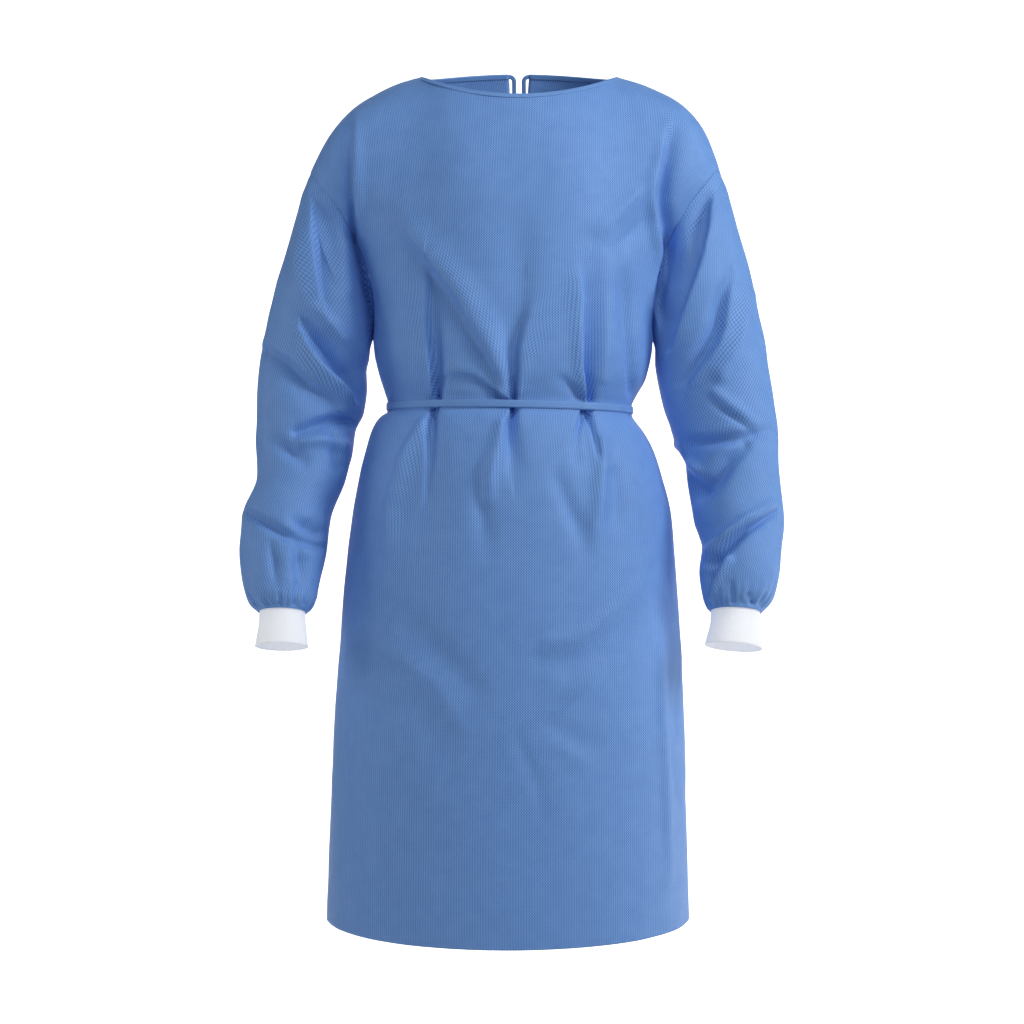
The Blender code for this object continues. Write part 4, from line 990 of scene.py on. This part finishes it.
# Rows of a sleeve, from 0 at the armhole over 1 at its first oval to 13 at its last, and columns
SLEEVE_PLACES = spaced((0, 0.06, 5), (0.06, 1, 9), (1, 4, 36), (4, 10, 66), (10, 12.4, 30),
                       (12.4, 13, 12))
SLEEVE_ANGLES = [at for at in np.linspace(0, 2 * math.pi, SLEEVE_COLUMNS)
                 if abs(at - SEAM_ANGLE) > SEAM_CLEAR]
SLEEVE_ANGLES += list(np.linspace(SEAM_ANGLE - SEAM_REACH, SEAM_ANGLE + SEAM_REACH, SEAM_COLUMNS))
SLEEVE_ANGLES = np.array(sorted(SLEEVE_ANGLES))
for side, word in SIDES:
    form = valley(sleeve_form(side))
    cut, flat = grain(form, True), sleeve_cut(form)
    normals = outward_of(form, True)
    up = cut[..., 1]
    armhole_free = smoothstep((up[-1:] - up) / SLEEVE_HOLD)
    cuff_free = smoothstep(up / CUFF_HOLD)
    pressed, lapped = fold_depth(form, normals, SLEEVE_FOLDS[side], FRONT)
    back_pressed, back_lapped = fold_depth(form, normals, SLEEVE_FOLDS[-side], BACK, -1)
    pressed, lapped = pressed + back_pressed, lapped + back_lapped
    place = SLEEVE_PLACES[::-1][:, None]
    turns = SLEEVE_ANGLES[::-1] if side == RIGHT else SLEEVE_ANGLES
    gather = (smoothstep((place - GATHER_FROM) / GATHER_RAMPS[0])
              * smoothstep((SLEEVE_PLACES[-1] - place) / GATHER_RAMPS[1]))
    drift = GATHER_DRIFT[0] * np.sin(GATHER_DRIFT[1] * turns)
    lift = GATHER_DEPTH * gather * np.cos(GATHERS * turns + drift)
    lift = lift + ripple(form, 21 + side, SLEEVE_RIPPLE) * armhole_free * cuff_free
    level = smoothstep(((1 + np.cos(turns)) / 2 - DIP_FROM) / DIP_RAMP)
    lift = lift - SEAM_SINK[side] * level * np.exp(-((up[-1:] - up) / SEAM_DIP) ** 2)
    seam_offset = (turns - SEAM_ANGLE) * SEAM_RADIUS
    lift = lift - SEAM_GROOVE[0] * np.exp(-(seam_offset / SEAM_GROOVE[1]) ** 2) * armhole_free
    lift = lift + (SEAM_EDGE[0] * np.exp(-((seam_offset - SEAM_EDGE[2]) / SEAM_EDGE[1]) ** 2)
                   * armhole_free)
    free = (armhole_free * cuff_free)[..., None]
    form += normals * (lift[..., None] - pressed[..., None] * free) + lapped * free
    turned_in = form[-1] - normals[-1] * ALLOWANCE_SINK
    allowance = turned_in + unit(form[-1] - form[-2]) * SEAM_ALLOWANCE
    form = np.concatenate([form, [turned_in, allowance]])
    flat = np.concatenate([flat, flat[-1:] + (0, ALLOWANCE_SINK), flat[-1:] + (0, SEAM_ALLOWANCE)])
    sleeve = sew("gown_sleeve_" + word, form, flat, body_cloth, CLOTH_WALL, True)
    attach(sleeve, "root")
    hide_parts("sleeve_" + word)


# Cuffs: short tubes of white polyester rib knit, doubled and elastic. Each is sewn into the end
# of its sleeve, whose cloth is gathered on to it.
KNIT_WALL = 0.0014
RIBS = 84  # about 2.2 mm apart
RIB_HEIGHT = 0.00025
RIB_POINTS = 4  # columns to a rib
STITCH_ROWS = 0.0012  # height of a row of loops


def rib_knit():
    """White polyester knit, matt and slightly fuzzy, with rows of loops across its ribs.

    It glows a little, a painted light that lifts its shaded side.
    """
    material, shader = new_material("white_polyester_rib_knit", 0.85, 0.35)
    # painted light: a faint white glow that lifts the knit's shaded side
    shader.inputs["Emission Color"].default_value = linear("#F2F6FF")
    shader.inputs["Emission Strength"].default_value = 0.31
    uv = add_node(material, "UVMap", uv_map="cut")[0]
    up = add_node(material, "SeparateXYZ", (uv,))[1]
    fuzz = add_node(material, "TexNoise", {"Vector": uv, "Scale": 1400.0, "Detail": 3.0})[0]
    height = add_node(material, "Math", (fuzz, 0.8, wave(material, up, STITCH_ROWS)),
                      operation="MULTIPLY_ADD")[0]
    # painted shade: the knit is tinted greyer where its loops and fuzz sink, and whiter where they rise
    shade = add_node(material, "Math", (height, 0.2, 0.55), operation="MULTIPLY_ADD",
                     use_clamp=True)[0]
    finish_cloth(material, shader, shade, ("#DDE3EC", "#FDFDFE"), height, 0.5, 0.0003)
    return material


knit = rib_knit()
for side, word in SIDES:
    angles = np.linspace(0, 2 * math.pi, RIBS * RIB_POINTS + 1)
    form = np.array([oval_ring(CUFF_OVALS, side, place, angles) for place in np.linspace(2, 0, 29)])
    form = form[:, ::-1] if side == RIGHT else form
    cut = grain(form, True)
    form += outward_of(form, True) * (RIB_HEIGHT * (np.cos(RIBS * angles) - 1))[None, :, None]
    cuff = sew("gown_cuff_" + word, form, cut, knit, KNIT_WALL, True)
    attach(cuff, "root")
    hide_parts("cuff_" + word)


# Belt: one narrow tape of the same cloth, folded lengthwise and stitched near its lower edge,
# drawn tight round the waist over the panels.
BELT_WIDTH = 0.0094
KNOT_SIZE = (0.015, 0.009, 0.013)
KNOT_LIFT = 0.003  # the belt leaves the cloth by this much to enter the knot
KNOT_LIFT_LENGTH = 0.02  # over this length
BELT_SEAM = 0.24  # place of its stitches below its middle, as a share of its width
start = turn_at(KNOT_SIZE[0] / 2 + SEAM_GAP, half_width_at(BELT_Z))
behind, before = np.linspace(start, 1, 90), np.linspace(-1, 1, 190)
path = np.concatenate([section_row(BELT_Z, -behind, BACK), section_row(BELT_Z, before[1:-1], FRONT),
                       section_row(BELT_Z, behind[::-1], BACK)])
path = sink(path)
outward = unit(np.cross(np.gradient(path, axis=0), np.array([0.0, 0.0, 1.0])))
reach = lengths_of(path)
lift = KNOT_LIFT * (1 - smoothstep(np.minimum(reach, reach[-1] - reach) / KNOT_LIFT_LENGTH))
path = path + outward * (SEAM_GAP + TAPE_WALL / 2 + lift)[:, None]
belt = tape("waist_belt_tape", path, outward, BELT_WIDTH, TAPE_WALL)
sewn = path + outward * TAPE_WALL / 2 - np.array([0, 0, BELT_WIDTH * BELT_SEAM])
belt_thread = stitches("waist_belt_stitches", sewn, outward)
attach(belt, "root")
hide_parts("waist_belt")


# Knot and hanging ends of the belt: the same folded tape, tied once at the centre back, with its
# ends hanging down beside the opening.
KNOT_SQUARE = 3.2  # 2 would be an egg, and more is squarer
GROOVES = ((-0.0031, 0.62), (0.0031, 0.50))  # place and slant of each
GROOVE_WIDTH = 0.0008
GROOVE_DEPTH = 0.0010
END_START = 0.0041  # the ends leave the knot this far to each side of its middle
END_SPREAD = {LEFT: 0.022, RIGHT: 0.014}
END_LENGTH = {LEFT: 0.240, RIGHT: 0.265}
END_CLEAR = 0.0006  # they hang this far off the cloth
END_SWAY = {LEFT: 0.0016, RIGHT: -0.0022}
form = bmesh.new()
bmesh.ops.create_cube(form, size=2)
bmesh.ops.subdivide_edges(form, edges=form.edges, cuts=23, use_grid_fill=True)
middle = section_row(BELT_Z, 0.0, BACK) + np.array([0, KNOT_SIZE[1] / 2 + 2 * SEAM_GAP, 0])
for vert in form.verts:
    way = np.array(vert.co)
    way /= (np.abs(way) ** KNOT_SQUARE).sum() ** (1 / KNOT_SQUARE)
    point = way * np.array(KNOT_SIZE) / 2
    for place, slant in GROOVES:
        across = point[0] * math.cos(slant) + point[2] * math.sin(slant) - place
        point = point - unit(way) * GROOVE_DEPTH * math.exp(-(across / GROOVE_WIDTH) ** 2)
    vert.co = point + middle
for face in form.faces:
    face.smooth = True
knot = new_piece("waist_knot_tied", form, tape_cloth)
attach(knot, "root")
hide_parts("waist_knot")
for side, word in SIDES:
    share = np.linspace(0, 1, 80)
    drop = BELT_Z - KNOT_SIZE[2] / 2 - SEAM_GAP - END_LENGTH[side] * share
    offset = side * (END_START + END_SPREAD[side] * smoothstep(share))
    offset += END_SWAY[side] * np.sin(3 * math.pi * share) * share
    path = np.array([section_row(z, turn_at(x, half_width_at(z)), BACK)
                     for z, x in zip(drop, offset)])
    lift = END_CLEAR + (KNOT_SIZE[1] / 2 + SEAM_GAP - END_CLEAR) * (1 - share) ** 4
    path[:, 1] += lift + TAPE_WALL / 2
    outward = np.tile([0.0, 1.0, 0.0], (len(path), 1))
    end = tape("waist_end_tape_" + word, path, outward, BELT_WIDTH - SEAM_GAP, TAPE_WALL)
    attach(end, "root")
    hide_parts("waist_end_" + word)


# Floor of pale paper, and behind it a white sheet that is lit from its far side, as for a
# picture on white.
FLOOR_Z = -1.45
FLOOR_REACH = 1.7
SHEET_START = 0.55
SHEET_BEND = 1.2


def stage_sheet(name, colour, glow, places):
    """Wide sheet of paper through (y, z) places."""
    paper, shader = new_material(name, 0.9, 0.0)
    shader.inputs["Base Color"].default_value = linear(colour)
    shader.inputs["Emission Color"].default_value = linear("#FFFFFF")
    shader.inputs["Emission Strength"].default_value = glow
    across = np.linspace(-FLOOR_REACH, FLOOR_REACH, 3)
    grid = np.array([[(x, y, z) for x in across] for y, z in places])
    sew(name, grid, grain(grid), paper, 0)


stage_sheet("floor_paper", "#E6E6E6", 0.0,
            [(-FLOOR_REACH, FLOOR_Z), (0.0, FLOOR_Z), (SHEET_START, FLOOR_Z)])
bend = [(SHEET_START + SHEET_BEND * (1 + math.sin(angle)), FLOOR_Z + SHEET_BEND * (1 - math.cos(angle)))
        for angle in np.linspace(0, math.pi / 2, 20)]
stage_sheet("lit_backdrop", "#FAFAFA", 1.0, [(SHEET_START, FLOOR_Z)] + bend + [(bend[-1][0], 2.5)])


# Camera level with the middle of the gown, and 2.4 m from it, which gives the perspective that
# the hem and the neckline have in the photo.
camera_data = bpy.data.cameras.new("camera")
camera_data.lens = 63.9
camera_data.sensor_width = 36
camera = bpy.data.objects.new("camera", camera_data)
bpy.context.scene.collection.objects.link(camera)
camera.location = (0, -2.4, -0.573)
camera.rotation_euler = (math.pi / 2, 0, 0)
bpy.context.scene.camera = camera


# Soft studio light: a dim white room and seven square lamps. The strongest stands high at the
# right, and the weaker ones lift the front, the left side and the edges.
world = bpy.data.worlds.new("studio")
bpy.context.scene.world = world
world.use_nodes = True
world.node_tree.nodes["Background"].inputs["Color"].default_value = linear("#FFFFFF")
world.node_tree.nodes["Background"].inputs["Strength"].default_value = 0.05

# Name, place, height of the point that it faces on the gown's middle line, width, power
LAMPS = (
    ("key", (2.1, -1.0, 0.4), -0.5, 0.8, 26),
    ("high", (2.0, -1.3, 1.3), -0.5, 0.8, 6),
    ("front", (0.7, -1.6, 0.3), -0.7, 0.6, 4),
    ("left", (-1.5, -1.9, -0.4), -0.8, 0.8, 6.5),
    ("left side", (-2.0, -0.2, -0.2), -0.7, 0.8, 7.5),
    ("rim", (1.8, 0.6, -1.1), -0.8, 0.8, 8),
    ("top", (0.2, -0.9, 1.0), -0.5, 0.6, 5.5),
)
for name, place, aim, size, power in LAMPS:
    light = bpy.data.lights.new(name, "AREA")
    light.size = size
    light.energy = power
    lamp = bpy.data.objects.new(name, light)
    bpy.context.scene.collection.objects.link(lamp)
    lamp.location = place
    lamp.rotation_euler = (Vector((0, 0, aim)) - Vector(place)).to_track_quat("-Z", "Y").to_euler()
bpy.context.scene.view_settings.view_transform = "Standard"
